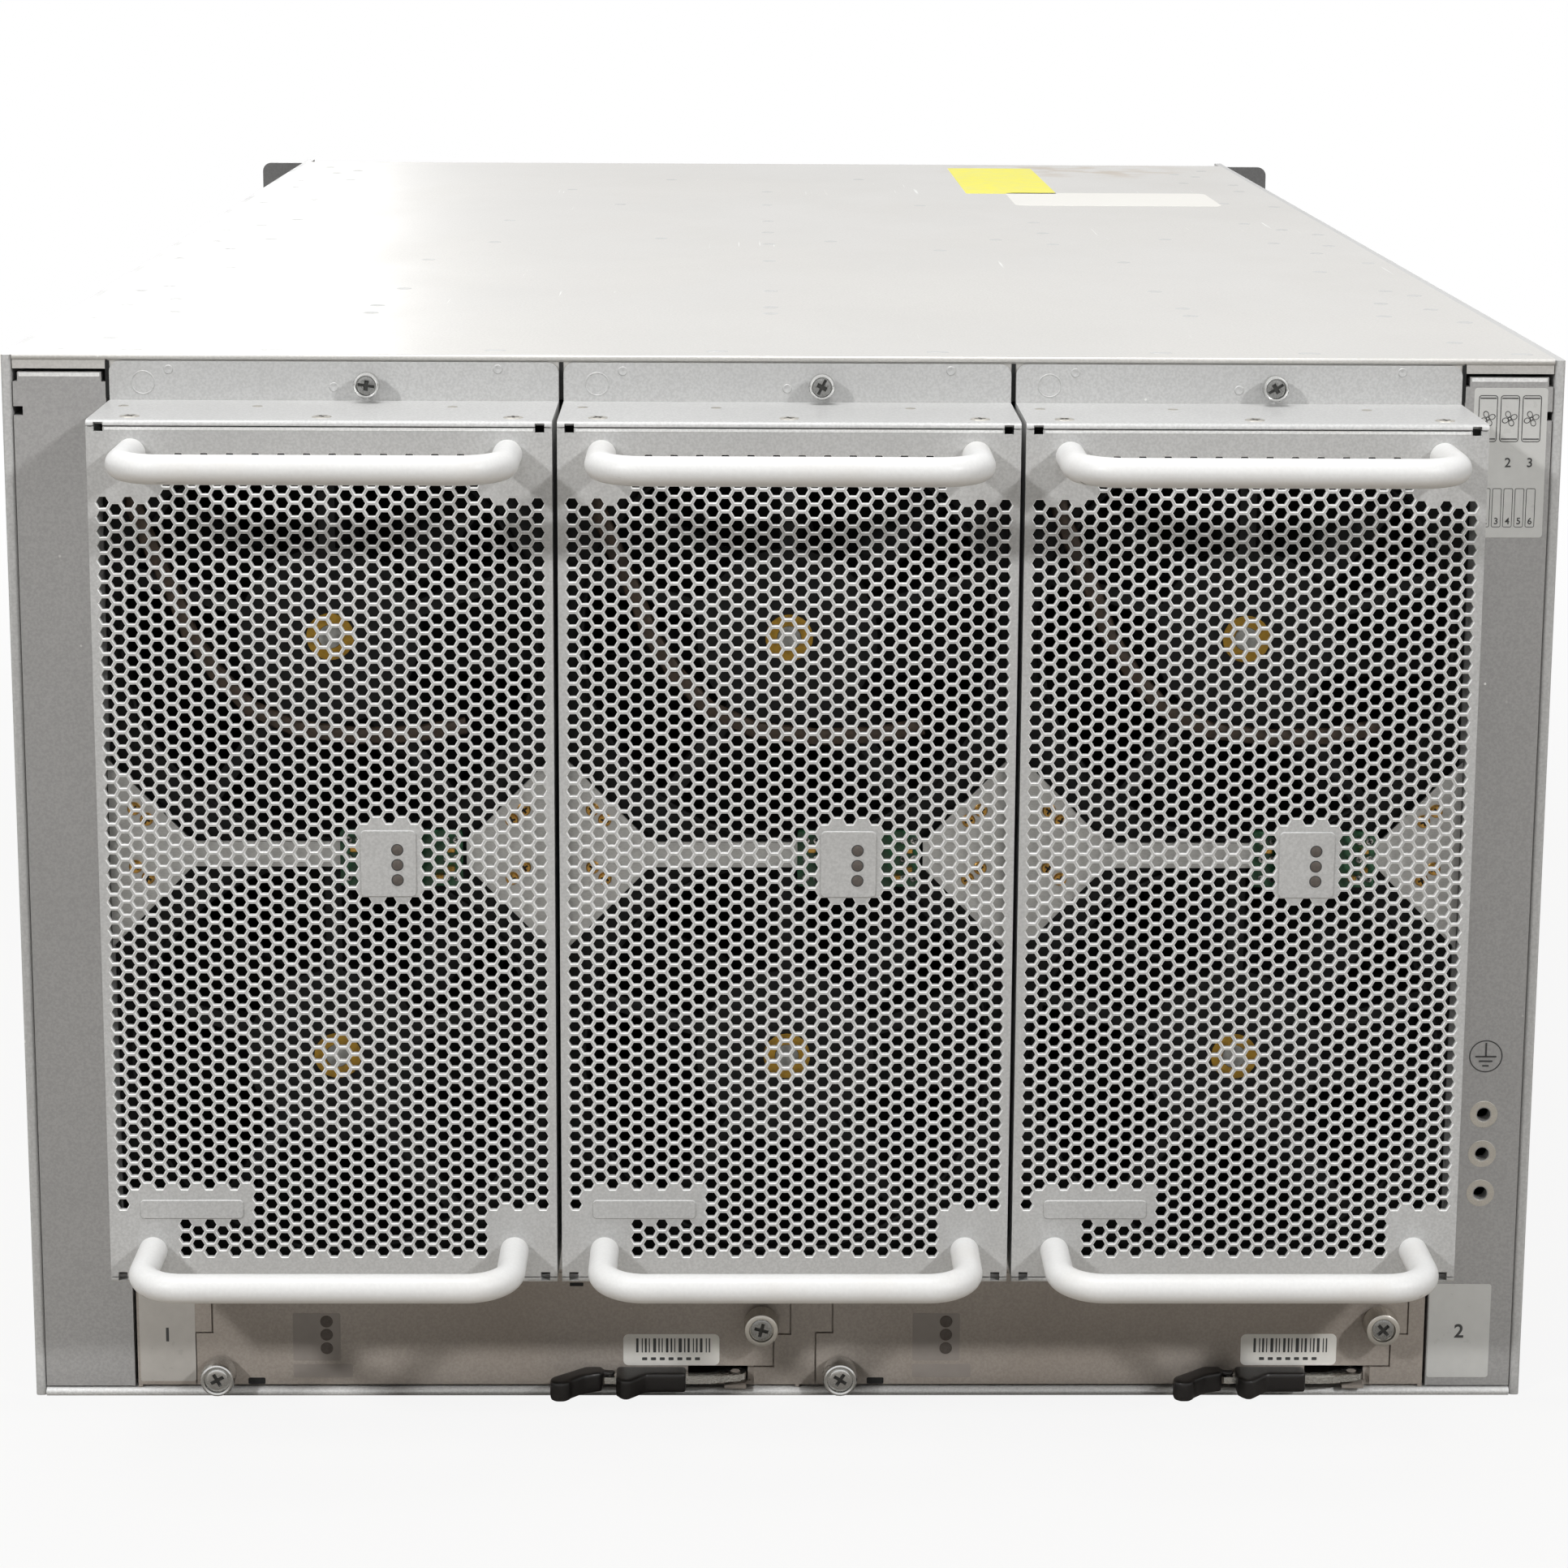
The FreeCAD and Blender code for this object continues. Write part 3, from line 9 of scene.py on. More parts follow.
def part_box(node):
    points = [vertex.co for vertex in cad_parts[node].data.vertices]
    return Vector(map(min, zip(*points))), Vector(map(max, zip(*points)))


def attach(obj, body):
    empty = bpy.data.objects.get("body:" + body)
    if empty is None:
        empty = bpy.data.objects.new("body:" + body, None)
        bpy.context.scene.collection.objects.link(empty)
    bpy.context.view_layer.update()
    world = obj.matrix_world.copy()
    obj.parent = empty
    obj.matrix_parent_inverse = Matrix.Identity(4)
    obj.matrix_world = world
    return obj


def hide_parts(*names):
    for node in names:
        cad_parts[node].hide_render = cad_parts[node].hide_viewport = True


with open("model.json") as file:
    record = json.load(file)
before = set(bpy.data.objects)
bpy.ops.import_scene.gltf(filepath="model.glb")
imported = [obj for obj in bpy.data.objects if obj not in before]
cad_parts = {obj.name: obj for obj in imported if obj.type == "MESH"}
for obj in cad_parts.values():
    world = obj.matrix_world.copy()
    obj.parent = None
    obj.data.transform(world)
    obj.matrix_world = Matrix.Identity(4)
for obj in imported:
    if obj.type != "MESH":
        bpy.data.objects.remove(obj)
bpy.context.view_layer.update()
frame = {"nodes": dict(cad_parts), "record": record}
NODES = frame["nodes"]
MM = 0.001
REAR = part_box("lower_bay")[0].y / MM
COVER_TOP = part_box("top_cover")[1].z / MM
TRAYS = (1, 2, 3)
CONTROLLERS = (1, 2)
LINE_CARDS = (1, 2, 3, 4)


def ends(node):
    """The two corners of a node's box, in millimetres."""
    return [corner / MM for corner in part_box(node)]


def middle(node):
    low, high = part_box(node)
    return (low + high) / (2 * MM)


# Materials

def tone(red, green, blue):
    """A screen colour from 0 to 255 as the linear colour that a shader takes."""
    def linear(value):
        value /= 255
        return value / 12.92 if value < 0.04045 else ((value + 0.055) / 1.055) ** 2.4
    return (linear(red), linear(green), linear(blue), 1.0)


class Finish:
    """A material made of nodes, in millimetres of the object's own frame."""

    def __init__(self, name, roughness=0.5, metallic=0.0, **sockets):
        self.material = bpy.data.materials.new(name)
        self.material.use_nodes = True
        self.tree = self.material.node_tree
        self.shader = self.tree.nodes["Principled BSDF"]
        self.shader.inputs["Roughness"].default_value = roughness
        self.shader.inputs["Metallic"].default_value = metallic
        for socket, value in sockets.items():
            self.shader.inputs[socket.replace("_", " ")].default_value = value
        place = self.tree.nodes.new("ShaderNodeTexCoord")
        scale = self.node("ShaderNodeVectorMath", operation="SCALE")
        scale.inputs["Scale"].default_value = 1 / MM
        self.join(place.outputs["Object"], scale.inputs[0])
        self.spot = scale.outputs[0]

    def node(self, kind, **settings):
        made = self.tree.nodes.new(kind)
        for key, value in settings.items():
            setattr(made, key, value)
        return made

    def join(self, source, target):
        self.tree.links.new(source, target)

    def stretched(self, x, y, z):
        made = self.node("ShaderNodeVectorMath", operation="MULTIPLY")
        self.join(self.spot, made.inputs[0])
        made.inputs[1].default_value = (x, y, z)
        return made.outputs[0]

    def noise(self, size, detail=3.0, spot=None, distortion=0.0):
        """Noise with features about this many millimetres across."""
        made = self.node("ShaderNodeTexNoise")
        self.join(spot or self.spot, made.inputs["Vector"])
        made.inputs["Scale"].default_value = 1 / size
        made.inputs["Detail"].default_value = detail
        made.inputs["Distortion"].default_value = distortion
        return made.outputs["Fac"]

    def cells(self, size, spot=None):
        made = self.node("ShaderNodeTexVoronoi")
        self.join(spot or self.spot, made.inputs["Vector"])
        made.inputs["Scale"].default_value = 1 / size
        return made.outputs["Distance"]

    def span(self, source, low, high, to_low=0.0, to_high=1.0):
        made = self.node("ShaderNodeMapRange", interpolation_type="SMOOTHSTEP")
        self.join(source, made.inputs["Value"])
        limits = {"From Min": low, "From Max": high, "To Min": to_low, "To Max": to_high}
        for key, value in limits.items():
            made.inputs[key].default_value = value
        return made.outputs["Result"]

    def maths(self, operation, first, second):
        made = self.node("ShaderNodeMath", operation=operation)
        for socket, value in zip(made.inputs, (first, second)):
            if isinstance(value, (int, float)):
                socket.default_value = value
            else:
                self.join(value, socket)
        return made.outputs[0]

    def mix(self, factor, first, second, blend="MIX"):
        made = self.node("ShaderNodeMix", data_type="RGBA", blend_type=blend)
        for slot, value in ((0, factor), (6, first), (7, second)):
            socket = made.inputs[slot]
            if isinstance(value, (int, float, tuple)):
                socket.default_value = value
            else:
                self.join(value, socket)
        return made.outputs[2]

    def axis(self, name):
        made = self.node("ShaderNodeSeparateXYZ")
        self.join(self.spot, made.inputs[0])
        return made.outputs[name]

    def colour(self, source):
        self.join(source, self.shader.inputs["Base Color"])

    def rough(self, source):
        self.join(source, self.shader.inputs["Roughness"])

    def bump(self, source, depth, strength=1.0):
        """Relief this many millimetres deep."""
        made = self.node("ShaderNodeBump")
        made.inputs["Distance"].default_value = depth * MM
        made.inputs["Strength"].default_value = strength
        self.join(source, made.inputs["Height"])
        self.join(made.outputs["Normal"], self.shader.inputs["Normal"])


def shade(colour, factor):
    return tuple(min(1.0, c * factor) for c in colour[:3]) + (1.0,)


def metal_paint(name, colour, metallic=0.15, roughness=0.45, dust=0.75, patches=0.05, stain=None):
    """Powder-coated sheet with a fine metallic sparkle, faint clouding and a few dust specks."""
    made = Finish(name, roughness, metallic)
    grain = made.span(made.noise(0.7, 2.0), 0.3, 0.7)
    base = made.mix(grain, shade(colour, 0.91), shade(colour, 1.08))
    cloud = made.span(made.noise(70.0, 4.0, distortion=0.6), 0.35, 0.7)
    base = made.mix(made.maths("MULTIPLY", cloud, patches * 4), base, stain or shade(colour, 0.8))
    flake = made.span(made.cells(0.9), 0.10, 0.02)
    base = made.mix(made.maths("MULTIPLY", flake, 0.6), base, shade(colour, 1.55))
    speck = made.span(made.cells(9.0), 0.055, 0.035)
    thin = made.span(made.noise(40.0, 1.0), 0.5, dust)
    base = made.mix(made.maths("MULTIPLY", speck, thin), base, tone(238, 238, 235))
    made.colour(base)
    smear = made.span(made.noise(45.0, 5.0, made.stretched(1.0, 1.0, 0.3)), 0.35, 0.75, -0.04, 0.10)
    made.rough(made.maths("ADD", smear, roughness))
    made.bump(made.noise(0.8, 2.0), 0.02, 0.6)
    return made


def plain(name, colour, roughness, metallic=0.0, size=1.0, depth=0.02, vary=0.08, **sockets):
    """A moulded or printed surface with a fine texture and slight variation."""
    made = Finish(name, roughness, metallic, **sockets)
    grain = made.noise(size, 4.0)
    patch = made.span(made.noise(size * 18, 3.0), 0.3, 0.7)
    fine = made.mix(made.span(grain, 0.3, 0.7), shade(colour, 1 - vary), shade(colour, 1 + vary))
    made.colour(made.mix(made.maths("MULTIPLY", patch, 0.35), fine, shade(colour, 1 - 2 * vary)))
    made.rough(made.span(grain, 0.2, 0.8, roughness - 0.06, roughness + 0.08))
    made.bump(grain, depth, 0.5)
    return made


def bare_metal(name, colour, roughness, along):
    """Plated or bare steel with fine scratches that run along one way."""
    made = Finish(name, roughness, 1.0)
    scratch = made.noise(0.25, 3.0, made.stretched(*along))
    stain = made.span(made.noise(6.0, 4.0), 0.35, 0.7)
    base = made.mix(made.span(scratch, 0.3, 0.7), shade(colour, 0.88), shade(colour, 1.06))
    made.colour(made.mix(made.maths("MULTIPLY", stain, 0.3), base, shade(colour, 0.72)))
    made.rough(made.span(scratch, 0.25, 0.75, roughness - 0.07, roughness + 0.12))
    made.bump(scratch, 0.01, 0.5)
    return made


SILVER = tone(192, 192, 191)
PAINT = metal_paint("silver_paint", SILVER)
# The base pan's paint is lighter than the silver paint so that its bead reads bright: painted
# highlight.
PAN_HIGHLIGHT_PAINT = metal_paint("pan_paint_highlight", tone(226, 226, 225))
# Lighter paint for hole walls and edges that catch the light: painted highlight.
HIGHLIGHT_PAINT = metal_paint("edge_highlight_paint", tone(236, 236, 235), dust=0.2)
FACE = metal_paint("face_paint", tone(190, 190, 189), dust=0.9)
# The rear posts take a darker grey than the silver paint: painted shade from the trays above them.
POST_SHADED_PAINT = metal_paint("post_paint_shaded", tone(166, 165, 164))
# The lower bay and controllers take a darker, browner grey than the silver paint: painted shade
# under the trays and a painted brown reflection.
BAY_SHADED_PAINT = metal_paint("bay_paint", tone(166, 158, 150), patches=0.07, stain=tone(136, 122, 108))
EAR = metal_paint("ear_paint", tone(112, 112, 112), metallic=0.5, roughness=0.38)
MODULE = metal_paint("module_paint", tone(74, 77, 80), metallic=0.2)
BLACK = plain("black_plastic", tone(20, 20, 20), 0.58, size=0.6, vary=0.15, Specular_IOR_Level=0.3)
GRIP = plain("grip_plastic", tone(30, 27, 26), 0.36, size=0.5, vary=0.2)
# Near-black for gaps, holes and notches: painted shade where the openings are.
PAINTED_SHADE = plain("painted_gap_shade", tone(12, 12, 12), 0.8, vary=0.1)
SHEET = bare_metal("bare_sheet", tone(208, 208, 206), 0.36, (0.2, 1.0, 1.0))
LEVER = bare_metal("lever_steel", tone(214, 213, 209), 0.24, (0.15, 1.0, 1.0))
PLATED = bare_metal("plated_steel", tone(205, 205, 203), 0.16, (1.0, 0.3, 1.0))
# Darker steel for the sunken flat inside a screw's rim: painted shade.
DIMMED_RECESS_STEEL = bare_metal("recess_steel_shaded", tone(150, 150, 148), 0.3, (1.0, 1.0, 0.4))
# Dark grey for the floors and walls of drive recesses: painted shade.
RECESS_SHADE = plain("drive_recess_shade", tone(66, 66, 64), 0.5, metallic=0.6, size=0.4, vary=0.2)
SATIN = bare_metal("satin_steel", tone(196, 192, 184), 0.34, (1.0, 0.3, 1.0))
BRASS = bare_metal("brass", tone(206, 160, 84), 0.28, (1.0, 1.0, 1.0))
INK = plain("label_ink", tone(62, 62, 62), 0.6, vary=0.1)
LABEL = plain("clear_label", tone(206, 206, 203), 0.32, size=3.0, depth=0.01, vary=0.02)
BAY_LABEL = plain("bay_label", tone(186, 182, 176), 0.32, size=3.0, depth=0.01, vary=0.03)
# The clear film is as dark and brown as the bay paint under it, so it carries the same painted
# shade.
FILM = plain("clear_film", tone(150, 143, 137), 0.34, size=3.0, depth=0.01, vary=0.03)
PAPER = plain("white_label", tone(236, 234, 228), 0.5, size=2.0, vary=0.02)
YELLOW = plain("yellow_label", tone(240, 232, 70), 0.45, size=6.0, vary=0.05)
LENS = plain("led_lens", tone(98, 91, 86), 0.5, size=0.8, vary=0.12, Specular_IOR_Level=0.2)
GUARD = plain("guard_plastic", tone(70, 56, 44), 0.5, size=0.8, vary=0.2)
OCHRE = plain("hub_label", tone(190, 146, 40), 0.4, size=1.2, vary=0.16)
HUB = plain("hub_centre", tone(170, 170, 166), 0.4, size=1.0, vary=0.12)


def board_finish():
    """Green solder mask with tracks."""
    made = Finish("green_board", 0.3, 0.0, Coat_Weight=0.3)
    tracks = made.span(made.cells(2.2, made.stretched(1.0, 0.2, 1.0)), 0.30, 0.36)
    base = made.mix(tracks, tone(24, 74, 46), tone(38, 98, 62))
    made.colour(made.mix(made.span(made.noise(5.0, 2.0), 0.4, 0.6), base, tone(30, 84, 52)))
    made.bump(tracks, 0.03, 0.5)
    return made


def handle_finish():
    """Near-white paint, worn through to grey metal in short streaks on the underside, and darker on
    faces turned down: painted shade.
    """
    made = Finish("handle_paint", 0.45, 0.0, Coat_Weight=0.08, Specular_IOR_Level=0.3)
    colour = tone(229, 229, 228)
    fine = made.mix(made.span(made.noise(0.9, 3.0), 0.3, 0.7), shade(colour, 0.96), colour)
    soiled = made.span(made.noise(26.0, 4.0), 0.5, 0.75)
    fine = made.mix(made.maths("MULTIPLY", soiled, 0.3), fine, tone(214, 209, 202))
    streak = made.span(made.noise(5.0, 4.0, made.stretched(0.16, 1.0, 1.0), 0.4), 0.66, 0.69)
    facing = made.node("ShaderNodeNewGeometry")
    split = made.node("ShaderNodeSeparateXYZ")
    made.join(facing.outputs["Normal"], split.inputs[0])
    under = made.span(split.outputs["Z"], -0.2, -0.75)
    worn = made.maths("MULTIPLY", streak, under)
    # Faces turned down are darker: painted shade.
    underside_shade = made.maths("MULTIPLY", made.span(split.outputs["Z"], 0.0, -0.8), 0.7)
    fine = made.mix(underside_shade, fine, tone(190, 184, 176))
    made.colour(made.mix(worn, fine, tone(128, 124, 118)))
    made.rough(made.span(made.noise(1.5, 4.0), 0.3, 0.7, 0.32, 0.48))
    made.bump(made.noise(1.2, 3.0), 0.015, 0.5)
    return made


BOARD = board_finish()
HANDLE = handle_finish()


def cover_finish():
    """The cover's paint, with a brownish scuff near its front right corner and fine scratches."""
    made = Finish("cover_paint", 0.36, 0.35)
    colour = tone(203, 201, 197)
    grain = made.span(made.noise(0.7, 2.0), 0.3, 0.7)
    base = made.mix(grain, shade(colour, 0.94), shade(colour, 1.06))
    cloud = made.span(made.noise(90.0, 4.0, distortion=0.6), 0.35, 0.7)
    base = made.mix(made.maths("MULTIPLY", cloud, 0.16), base, shade(colour, 0.82))
    away = made.node("ShaderNodeVectorMath", operation="DISTANCE")
    made.join(made.stretched(0.8, 1.0, 0.0), away.inputs[0])
    away.inputs[1].default_value = (116.0, 322.0, 0.0)
    near = made.span(away.outputs["Value"], 62.0, 8.0)
    scuff = made.maths("MULTIPLY", near, made.span(made.noise(17.0, 6.0), 0.42, 0.66))
    base = made.mix(made.maths("MULTIPLY", scuff, 0.7), base, tone(170, 152, 128))
    scratch = made.span(made.noise(1.6, 2.0, made.stretched(1.0, 0.02, 1.0)), 0.70, 0.74)
    sparse = made.span(made.noise(60.0, 2.0), 0.56, 0.66)
    base = made.mix(made.maths("MULTIPLY", scratch, sparse), base, tone(238, 238, 235))
    made.colour(base)
    smear = made.span(made.noise(60.0, 5.0, made.stretched(1.0, 0.4, 1.0)), 0.35, 0.75, 0.32, 0.46)
    made.rough(smear)
    made.bump(made.noise(0.8, 2.0), 0.015, 0.5)
    return made


COVER = cover_finish()


def dress(names, finish):
    for name in names:
        slots = NODES[name].data.materials
        for index in range(max(1, len(slots))):
            if index < len(slots):
                slots[index] = finish.material
            else:
                slots.append(finish.material)


SIDES = ("left", "right")
dress(["base_pan"], PAN_HIGHLIGHT_PAINT)
dress([f"side_panel_{s}" for s in SIDES], PAINT)
dress(["top_cover"], COVER)
dress([f"rear_post_{s}" for s in SIDES], POST_SHADED_PAINT)
dress([f"rack_ear_{s}" for s in SIDES], EAR)
dress(["lower_bay"], BAY_SHADED_PAINT)
dress(["fabric_modules"], BOARD)
dress(["supervisor_modules", "power_supplies"] + [f"line_card_{n}" for n in LINE_CARDS], MODULE)
for n in TRAYS:
    dress([f"tray_housing_{n}"], PAINT)
    dress([f"tray_handle_{level}_{n}" for level in ("upper", "lower")], HANDLE)
    dress([f"fan_frames_{n}", f"fan_rotor_upper_{n}", f"fan_rotor_lower_{n}"], BLACK)
    dress([f"fan_bracket_{n}"], SHEET)
    dress([f"led_board_{n}"], BOARD)
for n in CONTROLLERS:
    dress([f"controller_tray_{n}"], BAY_SHADED_PAINT)
    dress([f"controller_board_{n}"], BOARD)
    dress([f"lever_arm_{n}"], LEVER)
    dress([f"lever_grip_{n}", f"lever_trigger_{n}"], GRIP)


# Meshes, with every size in millimetres

def rear(u, v, height=0.0):
    """A point on the rear plane, x and z, and how far it stands out."""
    return Vector((u, REAR - height, v))


def front_of(y):
    return lambda u, v, height=0.0: Vector((u, y - height, v))


def top_of(z):
    return lambda u, v, height=0.0: Vector((u, v, z + height))


def piece(name, bm, finish, body="chassis", sharp=32, second=None):
    """One object from a mesh whose points are in millimetres, riding on a body."""
    bmesh.ops.scale(bm, vec=(MM, MM, MM), verts=bm.verts)
    bmesh.ops.recalc_face_normals(bm, faces=bm.faces)
    for edge in bm.edges:
        edge.smooth = len(edge.link_faces) == 2 and edge.calc_face_angle(0) < math.radians(sharp)
    for face in bm.faces:
        face.smooth = True
    mesh = bpy.data.meshes.new(name)
    bm.to_mesh(mesh)
    bm.free()
    mesh.materials.append(finish.material)
    if second:
        mesh.materials.append(second.material)
    made = bpy.data.objects.new(name, mesh)
    bpy.context.scene.collection.objects.link(made)
    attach(made, body)
    return made


def lathe(bm, plane, u, v, profile, steps=28, knurl=0.0, beyond=0.0):
    """A turned shape from radius and height pairs, knurled where its radius is beyond a limit."""
    rings = []
    for radius, height in profile:
        if radius == 0:
            rings.append([bm.verts.new(plane(u, v, height))])
            continue
        rings.append([
            bm.verts.new(plane(u + (radius - cut) * math.cos(2 * math.pi * i / steps),
                               v + (radius - cut) * math.sin(2 * math.pi * i / steps), height))
            for i in range(steps) for cut in [knurl if i % 2 and radius > beyond else 0.0]
        ])
    for low, high in zip(rings, rings[1:]):
        for i in range(steps):
            j = (i + 1) % steps
            corners = [low[i % len(low)], low[j % len(low)],
                       high[j % len(high)], high[i % len(high)]]
            unique = list(dict.fromkeys(corners))
            if len(unique) > 2:
                bm.faces.new(unique)
    return rings


def round_box(width, height, radius, steps=5):
    """The outline of a rectangle with round corners about its middle."""
    points = []
    for corner in range(4):
        cx = (width / 2 - radius) * (1 if corner in (0, 3) else -1)
        cy = (height / 2 - radius) * (1 if corner in (0, 1) else -1)
        for i in range(steps + 1):
            angle = math.pi / 2 * (corner + i / steps)
            points.append((cx + radius * math.cos(angle), cy + radius * math.sin(angle)))
    return points


def stack(bm, plane, u, v, layers, closed=True):
    """Outlines of equal length joined one above the other: each layer is (outline, height)."""
    rings = [[bm.verts.new(plane(u + a, v + b, height)) for a, b in outline]
             for outline, height in layers]
    for low, high in zip(rings, rings[1:]):
        for i in range(len(low)):
            j = (i + 1) % len(low)
            bm.faces.new((low[i], low[j], high[j], high[i]))
    if closed:
        bm.faces.new(rings[-1])
    return rings


def slab(bm, plane, u, v, width, height, radius, thick, edge=0.1, base=0.0):
    """A thin plate with round corners and a chamfered rim."""
    rim = max(radius - edge, 0.02)
    stack(bm, plane, u, v, [
        (round_box(width, height, radius), base),
        (round_box(width, height, radius), base + thick - edge),
        (round_box(width - 2 * edge, height - 2 * edge, rim), base + thick),
    ])


def line_box(bm, plane, u, v, width, height, radius, line, level):
    """A drawn rectangle with round corners."""
    outer = round_box(width, height, radius)
    inner = round_box(width - 2 * line, height - 2 * line, max(radius - line, 0.02))
    foot = level - 0.02
    stack(bm, plane, u, v, [(outer, foot), (outer, level), (inner, level), (inner, foot)], False)


def ring(bm, plane, u, v, radius, line, level, steps=28):
    lathe(bm, plane, u, v, [(radius, level - 0.03), (radius, level), (radius - line, level),
                            (radius - line, level - 0.03)], steps)


CROSS = [(1, 0.24), (0.24, 0.24), (0.24, 1), (-0.24, 1), (-0.24, 0.24), (-1, 0.24),
         (-1, -0.24), (-0.24, -0.24), (-0.24, -1), (0.24, -1), (0.24, -0.24), (1, -0.24)]


def drive(bm, plane, u, v, rim, level, reach, depth, turn, outline=CROSS):
    """The flat top of a screw head inside a rim of vertices, with its recess."""
    spin = [(reach * (a * math.cos(turn) - b * math.sin(turn)),
             reach * (a * math.sin(turn) + b * math.cos(turn))) for a, b in outline]
    mouth = [bm.verts.new(plane(u + a, v + b, level)) for a, b in spin]
    floor = [bm.verts.new(plane(u + a * 0.8, v + b * 0.8, level - depth)) for a, b in spin]
    edges = [bm.edges.get((p, q)) or bm.edges.new((p, q)) for ring_ in (rim, mouth)
             for p, q in zip(ring_, ring_[1:] + ring_[:1])]
    bmesh.ops.triangle_fill(bm, use_beauty=True, edges=edges)
    # The recess faces take the second, darker finish: painted shade.
    for i in range(len(mouth)):
        j = (i + 1) % len(mouth)
        bm.faces.new((mouth[i], mouth[j], floor[j], floor[i])).material_index = 1
    bm.faces.new(floor).material_index = 1


def screw_head(bm, plane, u, v, radius, rise, turn, base=0.0, reach=0.55, depth=0.8):
    """A low domed head with a cross recess."""
    top = base + rise
    profile = [(radius, base), (radius * 0.97, base + rise * 0.55), (radius * 0.82, top)]
    rings = lathe(bm, plane, u, v, profile, 24)
    drive(bm, plane, u, v, rings[-1], top, radius * reach, depth, turn)


# The fine grille of each fan tray

PITCH = 4.0
COLUMN = PITCH * math.sqrt(3) / 2
FLATS = 3.1
ROW_START = 212.4


def hexagon(u, v, radius):
    return [(u + radius * math.cos(math.pi / 3 * i), v + radius * math.sin(math.pi / 3 * i))
            for i in range(6)]


def clip(points, axis, limit, keep_above):
    """The part of a convex outline on one side of a line."""
    kept = []
    sign = 1 if keep_above else -1
    for a, b in zip(points, points[1:] + points[:1]):
        da, db = sign * (a[axis] - limit), sign * (b[axis] - limit)
        if da >= 0:
            kept.append(a)
        if da * db < 0:
            t = da / (da - db)
            kept.append((a[0] + t * (b[0] - a[0]), a[1] + t * (b[1] - a[1])))
    return kept


def is_open(column, u, v):
    """Whether the faceplate has a hole at this cell of its lattice."""
    if abs(column) > 17:
        return False
    low, high = (59.0, 288.0) if abs(column) <= 12 else (73.6, 275.5)
    if not low < v < high:
        return False
    if -57 < u < -23.5 and 69.5 < v < 79.4:
        return False
    if u < -41.6 and v < 79.4 and column != -17:
        return False
    return not (7.9 < u < 26.1 and 162.4 < v < 184.6)


def grille(n):
    low, high = ends(f"tray_faceplate_{n}")
    centre, half = (low.x + high.x) / 2, (high.x - low.x) / 2
    bottom, top = low.z, high.z
    plate = front_of(high.y)
    thick, lip = 1.5, 0.22
    bm = bmesh.new()
    notches = [(-half + 2.0, -half + 4.6), (half - 4.6, half - 2.0)]
    for column in range(-19, 20):
        shift = PITCH / 2 if column % 2 else 0.0
        for row in range(-41, 22):
            u, v = column * COLUMN, ROW_START + shift + row * PITCH
            cell = hexagon(u, v, PITCH / math.sqrt(3))
            if is_open(column, u, v):
                hole, mouth = (hexagon(u, v, r / math.sqrt(3)) for r in (FLATS, FLATS + 2 * lip))
                rings = [(cell, thick), (mouth, thick), (hole, thick - lip),
                         (hole, 0.0), (cell, 0.0)]
                stack(bm, plate, centre, 0, rings, False)
                continue
            sides = ((0, -half, True), (0, half, False), (1, bottom, True), (1, top, False))
            for axis, limit, above in sides:
                cell = clip(cell, axis, limit, above) if cell else cell
            parts = [cell] if len(cell) > 2 else []
            for left, right in notches:
                split = []
                for part in parts:
                    split.append(clip(part, 0, left, False))
                    split.append(clip(part, 0, right, True))
                    inside = clip(clip(part, 0, left, True), 0, right, False) if part else []
                    if inside:
                        inside = clip(clip(inside, 1, bottom + 1.3, True), 1, top - 1.3, False)
                        split.append(inside)
                parts = [part for part in split if len(part) > 2]
            for part in parts:
                for height in (thick, 0.0):
                    bm.faces.new([bm.verts.new(plate(centre + a, b, height)) for a, b in part])
    bmesh.ops.remove_doubles(bm, verts=bm.verts, dist=0.02)
    rim = [e for e in bm.edges if len(e.link_faces) == 1
           and abs(e.verts[0].co.y - high.y + thick) < 0.01
           and abs(e.verts[1].co.y - high.y + thick) < 0.01]
    for edge in rim:
        a, b = edge.verts
        back = [bm.verts.new(Vector((p.co.x, high.y, p.co.z))) for p in (b, a)]
        bm.faces.new((a, b, back[0], back[1]))
    bmesh.ops.remove_doubles(bm, verts=bm.verts, dist=0.02)
    # The hole walls, chamfers and outer rims take the lighter second paint: painted highlight.
    for face in bm.faces:
        face.normal_update()
        face.material_index = int(abs(face.normal.y) < 0.9)
    made = piece(f"grille_{n}", bm, FACE, f"tray_{n}", 20, HIGHLIGHT_PAINT)
    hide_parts(f"tray_faceplate_{n}")


for n in TRAYS:
    grille(n)


# Fan trays

FACE_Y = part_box("tray_faceplate_1")[1].y / MM - 1.5
FLANGE_Y = REAR - 1.2
TRAY_TOP = COVER_TOP - 13.0
ON_FACE = front_of(FACE_Y)
ON_FLANGE = front_of(FLANGE_Y)
LED_HEIGHTS = (177.6, 173.3, 169.0)
COMBI = [(1, 0.17), (0.26, 0.17), (0.26, 0.62), (-0.26, 0.62), (-0.26, 0.17), (-1, 0.17),
         (-1, -0.17), (-0.26, -0.17), (-0.26, -0.62), (0.26, -0.62), (0.26, -0.17), (1, -0.17)]


